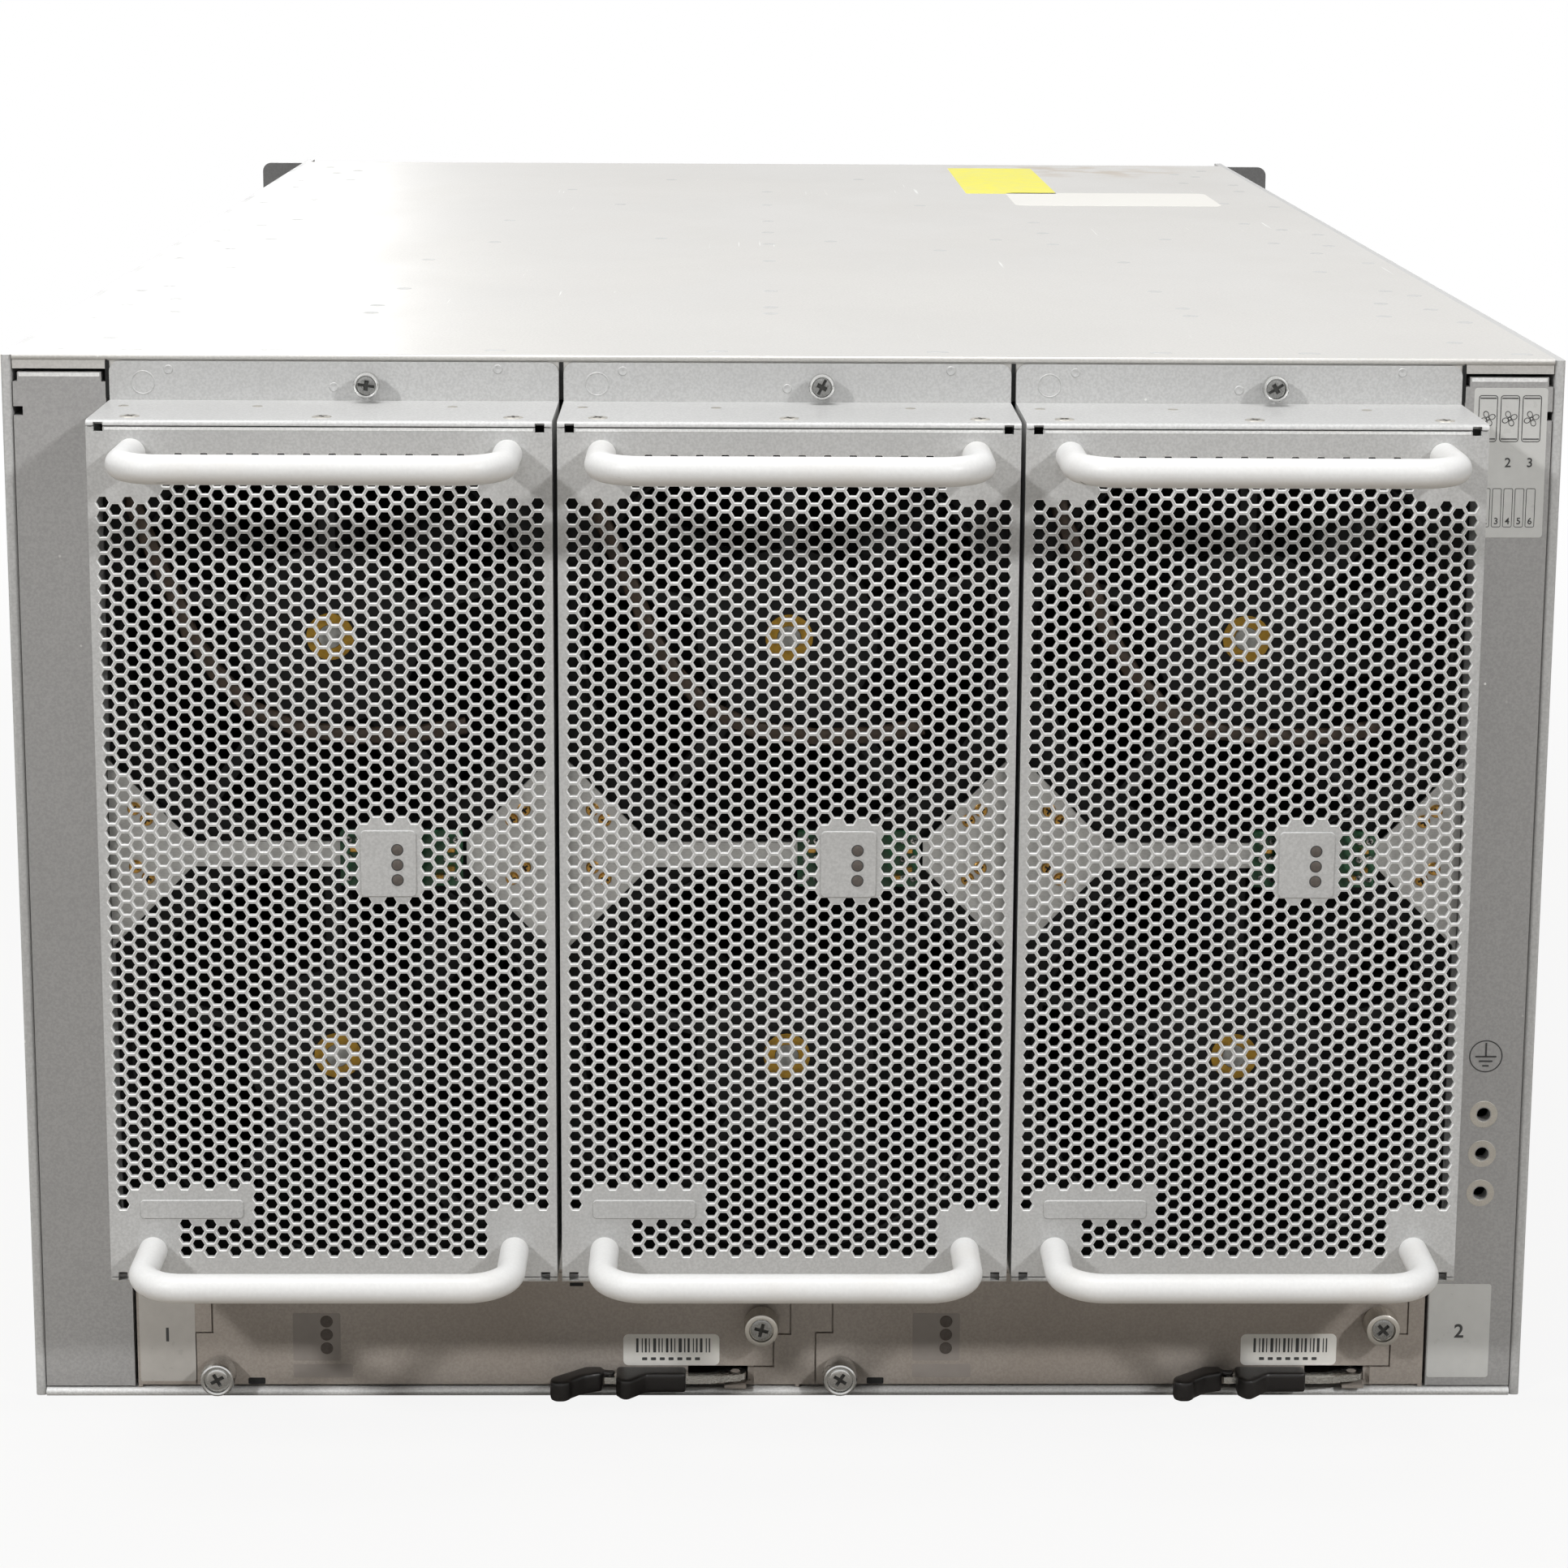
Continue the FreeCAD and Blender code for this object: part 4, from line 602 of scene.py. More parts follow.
def tray_plates(n):
    """The raised LED plate and label strip, and the marks pressed into the flange."""
    x = middle(f"tray_housing_{n}").x
    bm = bmesh.new()
    slab(bm, ON_FACE, x + 17.0, 173.65, 15.4, 18.9, 1.4, 0.5, 0.22)
    slab(bm, ON_FACE, x - 39.6, 73.15, 29.0, 5.5, 1.2, 0.45, 0.2)
    for u, v in ((-46.2, 305.6), (45.8, 306.0), (-0.1, 300.8)):
        lathe(bm, ON_FLANGE, x + u, v,
              [(1.35, 0.0), (1.15, 0.24), (0.95, 0.24), (0.35, 0.03), (0, 0.02)], 20)
    lathe(bm, ON_FLANGE, x - 53.4, 301.9, [(3.45, 0.0), (3.3, 0.14), (3.1, 0.14), (2.95, 0.0)], 36)
    piece(f"tray_plates_{n}", bm, FACE, f"tray_{n}")
    bm = bmesh.new()
    for v in LED_HEIGHTS:
        ring(bm, ON_FACE, x + 19.5, v, 1.72, 0.28, 0.54, 20)
    piece(f"led_rims_{n}", bm, INK, f"tray_{n}")
    bm = bmesh.new()
    for u in (-52.0, 0.0, 52.0):
        screw_head(bm, top_of(TRAY_TOP), x + u, REAR - 33.0, 2.7, 0.25, 0.4 + u / 40,
                   reach=0.6, depth=0.22)
    for u in (-57.0, -20.0, 34.0):
        lathe(bm, top_of(TRAY_TOP), x + u, REAR - 13.0, [(1.5, 0.0), (1.3, 0.1), (0, 0.12)], 16)
    piece(f"tray_top_screws_{n}", bm, SATIN, f"tray_{n}", second=RECESS_SHADE)


def faceplate_highlight_strip(n):
    """A lighter strip along the top edge of the faceplate: painted highlight."""
    low, high = ends(f"tray_faceplate_{n}")
    bm = bmesh.new()
    slab(bm, ON_FACE, (low.x + high.x) / 2, high.z - 0.45, high.x - low.x - 10.0,
         0.7, 0.14, 0.05, 0.01)
    piece(f"face_edge_{n}", bm, HIGHLIGHT_PAINT, f"tray_{n}")


def led_board(n):
    """The small board behind the LED plate, with its lenses, screws and parts."""
    low, high = ends(f"led_board_{n}")
    x, z = (low.x + high.x) / 2, (low.z + high.z) / 2
    back = front_of(high.y)
    tray = middle(f"tray_housing_{n}").x
    bm = bmesh.new()
    slab(bm, back, x, z, high.x - low.x, high.z - low.z, 1.0, 1.6, 0.1)
    board = piece(f"led_board_plate_{n}", bm, BOARD, f"tray_{n}")
    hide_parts(f"led_board_{n}")
    bm = bmesh.new()
    for v in LED_HEIGHTS:
        lathe(bm, back, tray + 19.5, v, [(1.45, 1.6), (1.45, high.y - FACE_Y + 0.5),
                                         (1.2, high.y - FACE_Y + 0.62),
                                         (0, high.y - FACE_Y + 0.68)], 20)
    piece(f"leds_{n}", bm, LENS, f"tray_{n}")
    bm = bmesh.new()
    for u in (-14.6, -11.6, 12.6, 15.4):
        for v in (-5.4, 0.2, 5.4):
            screw_head(bm, back, x + u, z + v, 1.15, 0.7, u + v, base=1.6)
    piece(f"board_screws_{n}", bm, PLATED, f"tray_{n}", second=RECESS_SHADE)
    bm = bmesh.new()
    for u, v in ((13.8, -2.6), (13.9, 2.8), (-13.0, 2.9), (10.6, -5.0)):
        slab(bm, back, x + u, z + v, 2.2, 1.4, 0.3, 2.2, 0.2, 1.6)
    piece(f"board_parts_{n}", bm, BRASS, f"tray_{n}")


def bracket_screws(n):
    x = middle(f"tray_housing_{n}").x
    plane = front_of(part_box(f"fan_bracket_{n}")[0].y / MM)
    bm = bmesh.new()
    for u in (-54.0, -50.6, 50.6, 54.0):
        for v in (187.0, 184.0, 170.4, 167.2):
            if (abs(u) > 52) == (v in (187.0, 170.4)):
                screw_head(bm, plane, x + u, v, 1.9, 0.9, u, reach=0.6)
    piece(f"bracket_screws_{n}", bm, BRASS, f"tray_{n}", second=RECESS_SHADE)


def tube(bm, points, radius, steps=8, flat=1.0):
    """A round or flattened bar along points, closed at both ends."""
    rings = []
    for i, spot in enumerate(points):
        ahead = points[min(i + 1, len(points) - 1)] - points[max(i - 1, 0)]
        side = ahead.cross(Vector((0, 1, 0))).normalized()
        out = side.cross(ahead).normalized()
        rings.append([bm.verts.new(spot + side * (radius * math.cos(2 * math.pi * k / steps))
                                   + out * (radius * flat * math.sin(2 * math.pi * k / steps)))
                      for k in range(steps)])
    for a, b in zip(rings, rings[1:]):
        for k in range(steps):
            bm.faces.new((a[k], a[(k + 1) % steps], b[(k + 1) % steps], b[k]))
    bm.faces.new(rings[0])
    bm.faces.new(rings[-1])


def arc(x, y, z, radius, start, end, count=18):
    return [Vector((x + radius * math.cos(math.radians(start + (end - start) * i / count)), y,
                    z + radius * math.sin(math.radians(start + (end - start) * i / count))))
            for i in range(count + 1)]


def fan_guard(n):
    """The cable duct that runs in front of the upper fan, and the ring of each fan's mouth."""
    x = middle(f"tray_housing_{n}").x
    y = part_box(f"fan_frames_{n}")[0].y / MM - 1.0
    bm = bmesh.new()
    duct = [Vector((x + u, y - 1.2, v)) for u, v in (
        (-53, 280), (-52, 270), (-47, 258), (-42, 247), (-38, 236), (-31, 225), (-22, 215),
        (-9, 209), (8, 207), (24, 207.5), (38, 210))]
    tube(bm, duct, 2.4, 10, 0.5)
    piece(f"fan_duct_{n}", bm, GUARD, f"tray_{n}")
    for level in ("upper", "lower"):
        rotor = middle(f"fan_rotor_{level}_{n}")
        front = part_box(f"fan_rotor_{level}_{n}")[0].y / MM
        plane = front_of(front)
        bm = bmesh.new()
        lathe(bm, plane, rotor.x, rotor.z, [(6.6, 0.1), (6.5, 0.2), (3.4, 0.2), (3.4, 0.1)], 32)
        piece(f"hub_ring_{level}_{n}", bm, OCHRE, f"rotor_{level}_{n}")
        bm = bmesh.new()
        lathe(bm, plane, rotor.x, rotor.z, [(3.3, 0.1), (3.2, 0.4), (2.4, 0.55), (0, 0.55)], 28)
        piece(f"hub_cap_{level}_{n}", bm, HUB, f"rotor_{level}_{n}")
        bm = bmesh.new()
        tube(bm, arc(rotor.x, y, rotor.z, 57.6, 0, 359, 72), 0.9, 8)
        for k in range(4):
            angle = math.pi / 4 + k * math.pi / 2
            screw_head(bm, front_of(y + 1.0), rotor.x + 56 * math.cos(angle) * 1.25,
                       rotor.z + 56 * math.sin(angle) * 1.25, 2.6, 1.2, k)
        piece(f"fan_mouth_{level}_{n}", bm, BLACK, f"tray_{n}")


def screw_face(bm, plane, u, v, radius, level, reach, turn, outline=CROSS):
    """The darker flat inside a screw's rim, painted shade, with its drive recess."""
    rings = lathe(bm, plane, u, v, [
        (radius, level - 0.95), (radius, level - 0.6), (radius - 0.2, level - 0.5)], 28)
    drive(bm, plane, u, v, rings[-1], level - 0.5, reach, 0.4, turn, outline)


def captive_screw(n, turn):
    """The tray's captive screw: a collared head with its recess, and a threaded shank."""
    low, high = ends(f"tray_screw_{n}")
    x, z = (low.x + high.x) / 2, (low.z + high.z) / 2
    length = high.y - low.y
    thread = [(1.98 if i % 2 else 1.7, 0.7 + 0.45 * i) for i in range(17)]
    profile = [(0, 0.0), (1.3, 0.0)] + thread + [
        (1.9, length - 3.2), (3.3, length - 3.2), (3.68, length - 2.8), (3.68, length - 0.5),
        (3.45, length - 0.12), (3.1, length), (2.85, length - 0.1), (2.7, length - 1.0),
        (0, length - 1.0)]
    bm = bmesh.new()
    lathe(bm, front_of(high.y), x, z, profile, 40, 0.1, 3.6)
    made = piece(f"captive_screw_{n}", bm, PLATED, f"tray_screw_{n}")
    bm = bmesh.new()
    screw_face(bm, front_of(high.y), x, z, 2.6, length, 2.35, turn, COMBI)
    piece(f"captive_drive_{n}", bm, DIMMED_RECESS_STEEL, f"tray_screw_{n}", second=RECESS_SHADE)
    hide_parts(f"tray_screw_{n}")


for n in TRAYS:
    tray_plates(n)
    faceplate_highlight_strip(n)
    led_board(n)
    bracket_screws(n)
    fan_guard(n)
    captive_screw(n, (-0.15, 1.1, 0.55)[n - 1])


# System controllers

def numeral(bm, plane, u, v, height, text, bold=0.012):
    """A plain numeral about its middle."""
    curve = bpy.data.curves.new("numeral", "FONT")
    curve.body = text
    curve.size = 1.0
    curve.offset = bold
    curve.resolution_u = 4
    made = bpy.data.objects.new("numeral", curve)
    flat = bpy.data.meshes.new_from_object(made)
    points = [p.co.copy() for p in flat.vertices]
    left, right = min(p.x for p in points), max(p.x for p in points)
    low, high = min(p.y for p in points), max(p.y for p in points)
    scale = height / (high - low)
    corners = [bm.verts.new(plane(u + (p.x - (left + right) / 2) * scale,
                                  v + (p.y - (low + high) / 2) * scale, 0.06)) for p in points]
    for face in flat.polygons:
        bm.faces.new([corners[i] for i in face.vertices])
    bpy.data.objects.remove(made)
    bpy.data.meshes.remove(flat)
    bpy.data.curves.remove(curve)


def bar(bm, plane, u, v, width, height, level=0.06):
    slab(bm, plane, u, v, width, height, min(width, height) * 0.2, level, 0.01)


STEP = (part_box("controller_tray_2")[0].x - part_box("controller_tray_1")[0].x) / MM


def controller_labels(n):
    shift = (n - 1) * STEP
    plane = front_of(REAR)
    bm = bmesh.new()
    slab(bm, plane, -136.6 + shift, 18.2, 14.0, 14.8, 0.5, 0.05, 0.02)
    slab(bm, plane, -134.9 + shift, 7.6, 17.4, 4.2, 0.5, 0.05, 0.02)
    piece(f"led_label_{n}", bm, FILM, f"controller_{n}")
    bm = bmesh.new()
    slab(bm, plane, -32.1 + shift, 14.2, 28.4, 9.8, 1.6, 0.1, 0.04)
    piece(f"white_label_{n}", bm, PAPER, f"controller_{n}")
    bm = bmesh.new()
    on_label = front_of(REAR - 0.1)
    u = -42.6
    widths = (0.9, 0.4, 0.7, 0.4, 1.1, 0.5, 0.4, 0.9, 0.6, 0.4, 1.2, 0.5, 0.8, 0.4, 0.6,
              1.0, 0.4, 0.5)
    for i, width in enumerate(widths):
        bar(bm, on_label, u + width / 2 + shift, 15.6, width * 0.8, 4.4)
        u += width + (0.5 if i % 3 else 0.8)
    for i in range(7):
        bar(bm, on_label, -40.0 + i * 2.6 + shift, 11.4, 1.5, 0.9)
    piece(f"label_bars_{n}", bm, INK, f"controller_{n}")
    bm = bmesh.new()
    for v in (23.0, 18.9, 14.7):
        lathe(bm, plane, -133.7 + shift, v,
              [(1.85, 0.05), (1.75, 0.25), (1.3, 0.38), (0, 0.45)], 24)
    piece(f"controller_leds_{n}", bm, LENS, f"controller_{n}")
    bm = bmesh.new()
    # Dark patches at the two notches: painted shade.
    bar(bm, plane, -154.5 + shift, 4.5, 5.0, 2.0, 0.08)
    bar(bm, plane, -60.0 + shift, 34.6, 4.0, 1.1, 0.08)
    piece(f"controller_notch_{n}", bm, PAINTED_SHADE, f"controller_{n}")


def thumb_screw(level, n, finish, turn):
    """A controller's thumb screw, knurled, with a deep rim round its cross recess."""
    node = f"controller_screw_{level}_{n}"
    low, high = ends(node)
    x, z = (low.x + high.x) / 2, (low.z + high.z) / 2
    length = high.y - low.y
    thread = [(1.98 if i % 2 else 1.7, 0.7 + 0.45 * i) for i in range(17)]
    if level == "low":
        face = [(5.05, length - 0.8), (4.75, length - 0.2), (4.3, length),
                (3.8, length - 0.15), (3.6, length - 1.0)]
    else:
        face = [(5.05, length - 0.7), (4.85, length - 0.15), (4.6, length),
                (3.6, length), (3.4, length - 1.0)]
    profile = [(0, 0.0), (1.3, 0.0)] + thread + [
        (1.9, length - 8.0), (4.2, length - 8.0), (4.6, length - 7.6), (4.6, length - 6.6),
        (5.08, length - 6.3)]
    bm = bmesh.new()
    lathe(bm, front_of(high.y), x, z, profile + face + [(0, length - 1.0)], 56, 0.14, 5.0)
    made = piece(f"thumb_screw_{level}_{n}", bm, finish, node)
    bm = bmesh.new()
    screw_face(bm, front_of(high.y), x, z, 3.2, length, 2.1, turn)
    piece(f"thumb_drive_{level}_{n}", bm, PLATED if level == "low" else DIMMED_RECESS_STEEL, node,
          second=RECESS_SHADE)
    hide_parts(node)


def softened(node, finish, body, cell=0.45, rounds=16):
    """A moulded piece: the CAD solid with every edge softened."""
    source = NODES[node]
    copy = bpy.data.objects.new(f"{node}_soft", source.data.copy())
    bpy.context.scene.collection.objects.link(copy)
    remesh = copy.modifiers.new("remesh", "REMESH")
    remesh.mode = "VOXEL"
    remesh.voxel_size = cell * MM
    smooth = copy.modifiers.new("smooth", "SMOOTH")
    smooth.factor = 0.5
    smooth.iterations = rounds
    bpy.context.view_layer.update()
    graph = bpy.context.evaluated_depsgraph_get()
    mesh = bpy.data.meshes.new_from_object(copy.evaluated_get(graph))
    bpy.data.objects.remove(copy)
    bm = bmesh.new()
    bm.from_mesh(mesh)
    bpy.data.meshes.remove(mesh)
    bmesh.ops.scale(bm, vec=(1 / MM, 1 / MM, 1 / MM), verts=bm.verts)
    made = piece(f"{node}_moulded", bm, finish, body, 80)
    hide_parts(node)


for n in CONTROLLERS:
    controller_labels(n)
    thumb_screw("low", n, PLATED, 0.5 * n)
    thumb_screw("high", n, SATIN, 0.3 + n)
    softened(f"lever_grip_{n}", GRIP, f"lever_{n}")
    softened(f"lever_trigger_{n}", GRIP, f"trigger_{n}")


# Chassis

def petal(bm, plane, u, v, angle, size):
    """One outlined blade of a fan symbol."""
    along, across = math.cos(angle), math.sin(angle)
    loops = []
    for grow in (1.0, 0.76):
        loops.append([
            (u + size * (0.56 * along
                         + grow * (0.42 * math.cos(t) * along - 0.34 * math.sin(t) * across)),
             v + size * (0.56 * across
                         + grow * (0.42 * math.cos(t) * across + 0.34 * math.sin(t) * along)))
            for t in [2 * math.pi * i / 20 for i in range(20)]])
    rings = [[bm.verts.new(plane(a, b, 0.06)) for a, b in loop] for loop in loops]
    for i in range(20):
        j = (i + 1) % 20
        bm.faces.new((rings[0][i], rings[0][j], rings[1][j], rings[1][i]))


def post_labels():
    plane = front_of(REAR)
    bm = bmesh.new()
    slab(bm, plane, 204.6, 280.2, 20.8, 42.8, 0.9, 0.06, 0.03)
    slab(bm, plane, 201.0, 20.1, 18.2, 29.2, 0.8, 0.06, 0.03)
    piece("post_label_plates", bm, LABEL)
    bm = bmesh.new()
    slab(bm, plane, -180.5, 19.0, 16.4, 29.2, 0.8, 0.06, 0.03)
    piece("bay_label_plate", bm, BAY_LABEL, "chassis")
    plane = front_of(REAR - 0.06)
    bm = bmesh.new()
    for i in range(3):
        u = 198.2 + 6.2 * i
        line_box(bm, plane, u, 292.9, 5.4, 13.3, 0.8, 0.22, 0.05)
        for v in (298.7, 287.1):
            bar(bm, plane, u, v, 4.6, 0.34)
        for k in range(4):
            petal(bm, plane, u, 292.9, math.radians(22 + 90 * k), 2.35)
        ring(bm, plane, u, 292.9, 0.5, 0.18, 0.06, 16)
        numeral(bm, plane, u, 280.4, 2.7, str(i + 1))
    for i in range(6):
        u = 195.3 + 3.2 * i
        line_box(bm, plane, u, 267.4, 2.66, 11.2, 0.5, 0.16, 0.05)
        numeral(bm, plane, u, 263.6, 1.9, str(i + 1))
    numeral(bm, plane, 201.0, 20.1, 4.3, "2", 0.02)
    numeral(bm, plane, -180.5, 19.0, 4.3, "1", 0.02)
    ring(bm, plane, 205.5, 105.0, 4.9, 0.35, 0.0, 40)
    bar(bm, plane, 205.5, 107.0, 0.5, 4.2)
    for width, v in ((6.2, 104.9), (4.0, 103.5), (1.9, 102.1)):
        bar(bm, plane, 205.5, v, width, 0.5)
    piece("post_print", bm, INK)
    bm = bmesh.new()
    for mount in frame["record"]["mounts"]:
        if mount["name"].startswith("earth"):
            x, _, z = (value / MM for value in mount["pos_m"])
            lathe(bm, front_of(REAR), x, z,
                  [(4.1, 0.0), (4.05, 0.05), (2.3, 0.05), (2.02, -0.2)], 36)
    piece("earth_rings", bm, SATIN)


# Each place is x and the distance from the rear edge. Most were marked on the photograph
# and turned into millimetres with the fitted camera; the rest are mirrored or guessed.
COVER_SCREWS = [
    (-0.7, 552), (-1.5, 487), (-1.5, 413), (-2.0, 366), (-2.0, 321), (-2.4, 260), (-2.8, 164),
    (-3.2, 118), (-3.4, 101), (-43, 615), (41, 621), (-42, 341), (21, 332), (83, 341), (103, 412),
    (103, 368), (103, 324), (147, 345), (122.5, 260), (122.7, 167), (126, 119), (126, 99),
    (-103, 412), (-103, 324), (-122, 260), (-122, 167), (-126, 119), (-126, 99), (62, 487),
    (-62, 487), (60, 300), (-85, 560),
]
EDGE_SCREWS = [
    (188, 659), (203, 679), (196, 645), (207, 599), (186, 608), (205, 565), (190, 503),
    (209, 488), (186, 411), (197, 386), (208, 367), (186, 332), (205, 323), (196, 295),
    (209, 261), (187, 231), (206, 158), (191, 135), (204, 119), (186, 100), (208, 85), (199, 171),
    (195, 35),
]
REAR_MARKS = (-206.8, -184.3, -145.2, -81.9, -19.3, 43.2, 106.5, 148.7, 209.1)


def post_highlight_strips():
    """A lighter strip along the top of each rear post: painted highlight."""
    for side in SIDES:
        low, high = ends(f"rear_post_{side}")
        bm = bmesh.new()
        bar(bm, front_of(low.y), (low.x + high.x) / 2, high.z - 0.7, high.x - low.x - 3.4,
            1.1, 0.05)
        piece(f"post_edge_{side}", bm, HIGHLIGHT_PAINT)


def flange_gap_shade():
    """The dark slits beside the tray flanges: painted shade in the gaps. They stay on the strip
    when a tray slides out.
    """
    bm = bmesh.new()
    half_pitch = 63.5
    halves = [middle(f"tray_housing_{n}").x + side * half_pitch for n in TRAYS for side in (-1, 1)]
    for x in sorted({round(half, 1) for half in halves}):
        slab(bm, front_of(REAR), x, 302.6, 1.2, 10.6, 0.1, 0.05, 0.02)
    piece("flange_gap_shade", bm, PAINTED_SHADE)


def cover_details():
    plane = top_of(COVER_TOP)
    bm = bmesh.new()
    for x, y in COVER_SCREWS + EDGE_SCREWS + [(-x, y) for x, y in EDGE_SCREWS]:
        lathe(bm, plane, x, REAR + y, [
            (2.5, 0.0), (2.3, 0.09), (1.9, 0.09), (1.6, 0.02), (0.4, 0.02), (0, -0.1)], 20)
    for x in REAR_MARKS:
        slab(bm, plane, x, REAR + 9.0, 6.4, 3.4, 1.6, 0.07, 0.05)
    piece("cover_screws", bm, PAINT)
    bm = bmesh.new()
    slab(bm, plane, 104.5, REAR + 619.0, 39.0, 141.0, 1.5, 0.08, 0.03)
    piece("yellow_sticker", bm, YELLOW)
    bm = bmesh.new()
    slab(bm, plane, 145.0, REAR + 521.0, 86.0, 63.0, 5.0, 0.08, 0.03)
    piece("white_sticker", bm, PAPER)


def side_of(x):
    sign = 1 if x > 0 else -1
    return lambda u, v, height=0.0: Vector((x + sign * height, u, v))


def side_details():
    for side, name in ((-1, "left"), (1, "right")):
        low, high = ends(f"side_panel_{name}")
        plane = side_of(low.x if side < 0 else high.x)
        bm = bmesh.new()
        spots = [(-330.0 + 82.0 * i, z) for z in (8.0, 296.0) for i in range(9)]
        spots += [(y, z) for y in (-338.0, -196.0, -40.0) for z in (66.0, 128.0, 190.0, 250.0)]
        for y, z in spots:
            screw_head(bm, plane, y, z, 2.9, 0.5, y + z, reach=0.6, depth=0.4)
        piece(f"side_screws_{name}", bm, SATIN, "chassis", second=RECESS_SHADE)


def ahead_of(y):
    return lambda u, v, height=0.0: Vector((u, y + height, v))


def port_block(holes, cages, plane, u, v, columns, pitch, width, height, rows=(0.0,)):
    for row in rows:
        for i in range(columns):
            x = u + (i - (columns - 1) / 2) * pitch
            line_box(cages, plane, x, v + row, width + 1.2, height + 1.2, 0.6, 0.5, 0.35)
            slab(holes, plane, x, v + row, width, height, 0.4, 0.06, 0.02)


def ejector(bm, plane, u, v, side, height):
    """A swing lever at the end of a card's faceplate."""
    slab(bm, plane, u, v, 5.0, height * 0.86, 1.4, 3.0, 0.7)
    slab(bm, plane, u - side * 4.4, v + height * 0.26, 5.0, 7.0, 1.4, 5.4, 0.7)


def front_details():
    """Plain ports, levers and screws on the faces of the front modules; the port holes, sockets and
    vents are dark patches of painted shade.
    """
    faces = [(f"line_card_{n}", f"card_{n}", f"line_card_{n}") for n in LINE_CARDS]
    for node, name, body in faces:
        low, high = ends(node)
        plane = ahead_of(high.y)
        v = low.z + 22.0
        holes, cages, levers, screws = (bmesh.new() for _ in range(4))
        for u in (-126.0, 0.0, 126.0):
            port_block(holes, cages, plane, u, v, 8, 15.2, 12.8, 9.6, (-7.4, 7.4))
        slab(holes, plane, -198.0, v, 4.0, 24.0, 0.6, 0.05, 0.02)
        for side in (-1, 1):
            ejector(levers, plane, side * 209.0, v, side, 40.0)
            for w in (-14.0, 14.0):
                screw_head(screws, plane, side * 200.5, v + w, 2.4, 1.0, w + side)
        piece(f"{name}_port_holes", holes, PAINTED_SHADE, body)
        piece(f"{name}_port_cages", cages, SHEET, body)
        piece(f"{name}_levers", levers, GRIP, body)
        piece(f"{name}_screws", screws, PLATED, body, second=RECESS_SHADE)
    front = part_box("supervisor_modules")[1].y / MM
    plane = ahead_of(front)
    holes, cages, levers, screws = (bmesh.new() for _ in range(4))
    for u in (-108.0, 108.0):
        port_block(holes, cages, plane, u - 60.0, 103.0, 3, 19.0, 15.0, 12.0)
        port_block(holes, cages, plane, u + 10.0, 103.0, 2, 19.0, 13.0, 5.4, (-5.0, 5.0))
        for side in (-1, 1):
            ejector(levers, plane, u + side * 101.0, 103.0, side, 30.0)
            screw_head(screws, plane, u + side * 92.0, 94.0, 2.4, 1.0, u + side)
    low, high = ends("power_supplies")
    plane = ahead_of(high.y)
    width = (high.x - low.x) / 4
    vents = bmesh.new()
    for k in range(4):
        u = low.x + width * (k + 0.5)
        for row in range(9):
            for column in range(11):
                x = u - 18.0 + column * 5.2 + (2.6 if row % 2 else 0.0)
                cell = hexagon(x, 22.0 + row * 4.6, 2.2)
                stack(vents, plane, 0, 0, [(cell, 0.02), (cell, 0.06)])
        slab(holes, plane, u - 36.0, 30.0, 16.0, 22.0, 1.5, 0.06, 0.02)
        line_box(cages, plane, u - 36.0, 30.0, 19.0, 25.0, 2.0, 1.2, 0.8)
        slab(levers, plane, u - 36.0, 62.0, 12.0, 26.0, 3.0, 4.6, 1.4)
        screw_head(screws, plane, u + 46.0, 72.0, 2.4, 1.0, u)
        screw_head(screws, plane, u + 46.0, 12.0, 2.4, 1.0, u + 1)
    piece("front_holes", holes, PAINTED_SHADE, "chassis")
    piece("front_cages", cages, SHEET, "chassis")
    piece("front_levers", levers, GRIP, "chassis")
    piece("front_screws", screws, PLATED, "chassis", second=RECESS_SHADE)
    piece("power_vents", vents, PAINTED_SHADE, "chassis")


def heat_sink(bm, plane, u, v, size, rise):
    slab(bm, plane, u, v, size, size, 0.6, 3.0, 0.2)
    fins = int(size / 4.4)
    for i in range(fins):
        slab(bm, plane, u + (i - (fins - 1) / 2) * 4.4, v, 1.2, size - 2.0, 0.3, rise, 0.1, 2.8)


def card_parts(n):
    """The board of a line card with generic chips, heat sinks, sockets and port cages."""
    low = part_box(f"line_card_{n}")[0] / MM
    floor = top_of(low.z + 1.5)
    top = top_of(low.z + 1.5 + 5.6)
    board, chips, metal = (bmesh.new() for _ in range(3))
    slab(board, floor, 0, 167.0, 420.0, 398.0, 3.0, 1.6, 0.1, 4.0)
    for u in (-132.0, -44.0, 44.0, 132.0):
        slab(chips, top, u, -20.0, 52.0, 20.0, 1.0, 15.0, 0.4)
        for k in range(6):
            slab(chips, top, u + (k - 2.5) * 13.6, 112.0, 9.0, 13.0, 0.4, 1.3, 0.2)
            slab(chips, top, u + (k - 2.5) * 13.6, 262.0, 7.0, 7.0, 0.4, 1.1, 0.2)
            lathe(metal, top, u + (k - 2.5) * 13.6, 48.0,
                  [(4.0, 0.0), (4.0, 8.0), (3.6, 8.6), (0, 8.6)], 18)
            slab(chips, top, u + (k - 2.5) * 13.6, 68.0, 9.0, 9.0, 0.8, 5.0, 0.5)
        heat_sink(metal, top, u, 186.0, 62.0, 15.0)
    for u in (-126.0, 0.0, 126.0):
        slab(metal, top, u, 344.0, 122.0, 50.0, 1.0, 29.0, 0.3)
        slab(chips, top, u, 300.0, 90.0, 12.0, 0.6, 3.0, 0.3)
    piece(f"card_board_{n}", board, BOARD, f"line_card_{n}")
    piece(f"card_chips_{n}", chips, BLACK, f"line_card_{n}")
    piece(f"card_metal_{n}", metal, SHEET, f"line_card_{n}")


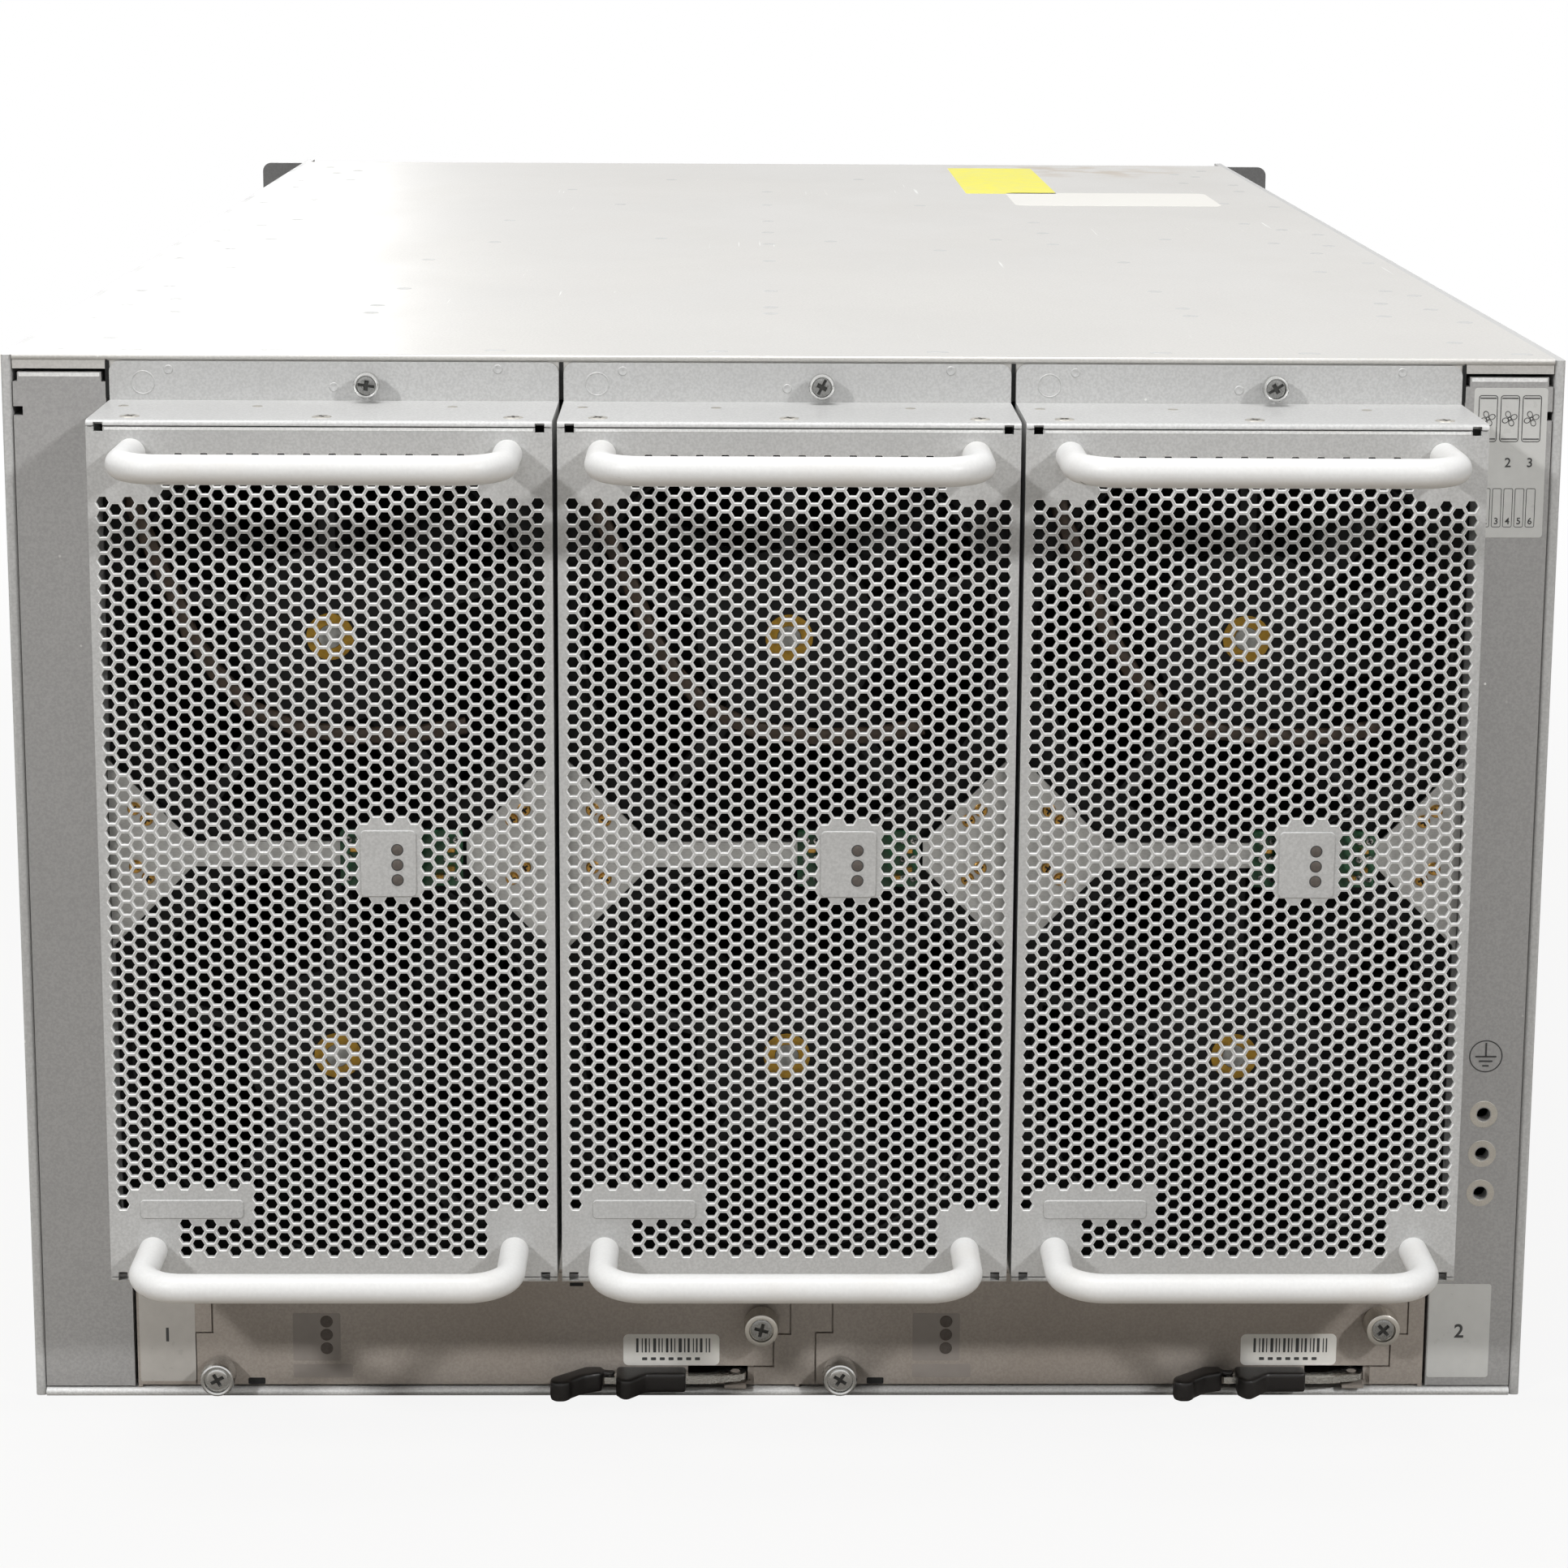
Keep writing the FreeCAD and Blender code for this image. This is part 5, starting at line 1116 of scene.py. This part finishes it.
def controller_parts(n):
    """Generic chips and a heat sink on a controller's board."""
    low, high = ends(f"controller_board_{n}")
    u, top = (low.x + high.x) / 2, top_of(high.z)
    chips, metal = bmesh.new(), bmesh.new()
    heat_sink(metal, top, u - 18.0, -262.0, 36.0, 11.0)
    slab(chips, top, u + 26.0, -256.0, 24.0, 24.0, 0.8, 2.0, 0.3)
    for k in range(5):
        slab(chips, top, u - 44.0 + k * 18.0, -300.0, 11.0, 14.0, 0.4, 1.4, 0.2)
        lathe(metal, top, u - 50.0 + k * 9.0, -222.0,
              [(3.1, 0.0), (3.1, 6.0), (2.8, 6.5), (0, 6.5)], 16)
    slab(chips, top, u + 30.0, -217.0, 56.0, 10.0, 0.8, 9.0, 0.3)
    piece(f"controller_chips_{n}", chips, BLACK, f"controller_{n}")
    piece(f"controller_metal_{n}", metal, SHEET, f"controller_{n}")


for n in LINE_CARDS:
    card_parts(n)
for n in CONTROLLERS:
    controller_parts(n)
post_labels()
post_highlight_strips()
flange_gap_shade()
cover_details()
side_details()
front_details()


# Camera, light and floor. The camera was fitted to the photograph.

EYE = (-0.01396, -1.35707, 0.43884)
EYE_TURN = (79.3556, -0.3306, -0.8135)
LENS = 82.505
LENS_SHIFT = (-0.0033, -0.1406)


def aim(obj, target):
    obj.rotation_euler = (Vector(target) - obj.location).to_track_quat("-Z", "Y").to_euler()


def lamp(name, spot, target, size, power, colour=(1, 1, 1)):
    light = bpy.data.lights.new(name, "AREA")
    light.shape = "RECTANGLE"
    light.size, light.size_y = size
    light.energy = power
    light.color = colour
    made = bpy.data.objects.new(name, light)
    made.location = spot
    bpy.context.scene.collection.objects.link(made)
    aim(made, target)


def studio():
    lamp("lamp_left", (-1.9, -2.3, 1.85), (0, -0.35, 0.15), (0.2, 0.2), 40)
    lamp("lamp_right", (1.9, -2.3, 1.85), (0, -0.35, 0.15), (0.2, 0.2), 39)
    lamp("overhead", (-0.3, -0.6, 2.6), (-0.1, -0.3, 0.3), (1.4, 1.4), 47)
    lamp("glare", (-1.3, 3.4, 1.1), (-0.3, 0, 0.31), (1.6, 0.8), 16)
    world = bpy.data.worlds.new("studio")
    bpy.context.scene.world = world
    world.use_nodes = True
    tree = world.node_tree
    back = tree.nodes["Background"]

    def new(kind):
        """A node in the tree at hand: first the world's, then the floor's."""
        return tree.nodes.new("ShaderNode" + kind)

    path = new("LightPath")
    seen = new("Math")
    seen.operation = "MAXIMUM"
    tree.links.new(path.outputs["Is Camera Ray"], seen.inputs[0])
    tree.links.new(path.outputs["Is Glossy Ray"], seen.inputs[1])
    strength = new("MapRange")
    tree.links.new(seen.outputs[0], strength.inputs["Value"])
    strength.inputs["To Min"].default_value = 0.08
    strength.inputs["To Max"].default_value = 1.0
    tree.links.new(strength.outputs["Result"], back.inputs["Strength"])
    back.inputs["Color"].default_value = (1, 1, 1, 1)

    mesh = bpy.data.meshes.new("floor")
    mesh.from_pydata([(-9, -9, 0), (9, -9, 0), (9, 9, 0), (-9, 9, 0)], [], [(0, 1, 2, 3)])
    floor = bpy.data.objects.new("floor", mesh)
    bpy.context.scene.collection.objects.link(floor)
    ground = bpy.data.materials.new("floor")
    ground.use_nodes = True
    tree = ground.node_tree
    shader = tree.nodes["Principled BSDF"]
    shader.inputs["Base Color"].default_value = (0.44, 0.42, 0.39, 1)
    shader.inputs["Roughness"].default_value = 0.9
    shader.inputs["Specular IOR Level"].default_value = 0.1
    glow = new("Emission")
    blend = new("MixShader")
    path = new("LightPath")
    spot = new("TexCoord")
    away = new("VectorMath")
    away.operation = "LENGTH"
    fade = new("MapRange")
    for key, value in (("From Min", 0.45), ("From Max", 1.3), ("To Min", 0.9), ("To Max", 1.0)):
        fade.inputs[key].default_value = value
    share = new("Math")
    share.operation = "MULTIPLY"
    tree.links.new(spot.outputs["Object"], away.inputs[0])
    tree.links.new(away.outputs["Value"], fade.inputs["Value"])
    tree.links.new(path.outputs["Is Camera Ray"], share.inputs[0])
    tree.links.new(fade.outputs["Result"], share.inputs[1])
    tree.links.new(share.outputs[0], blend.inputs[0])
    tree.links.new(shader.outputs[0], blend.inputs[1])
    tree.links.new(glow.outputs[0], blend.inputs[2])
    tree.links.new(blend.outputs[0], tree.nodes["Material Output"].inputs["Surface"])
    mesh.materials.append(ground)

    camera = bpy.data.cameras.new("camera")
    camera.sensor_width = 36.0
    camera.lens = LENS
    camera.shift_x, camera.shift_y = LENS_SHIFT
    camera.clip_end = 60.0
    eye = bpy.data.objects.new("camera", camera)
    eye.location = EYE
    eye.rotation_euler = [math.radians(angle) for angle in EYE_TURN]
    bpy.context.scene.collection.objects.link(eye)
    bpy.context.scene.camera = eye
    bpy.context.scene.view_settings.view_transform = "Standard"


studio()
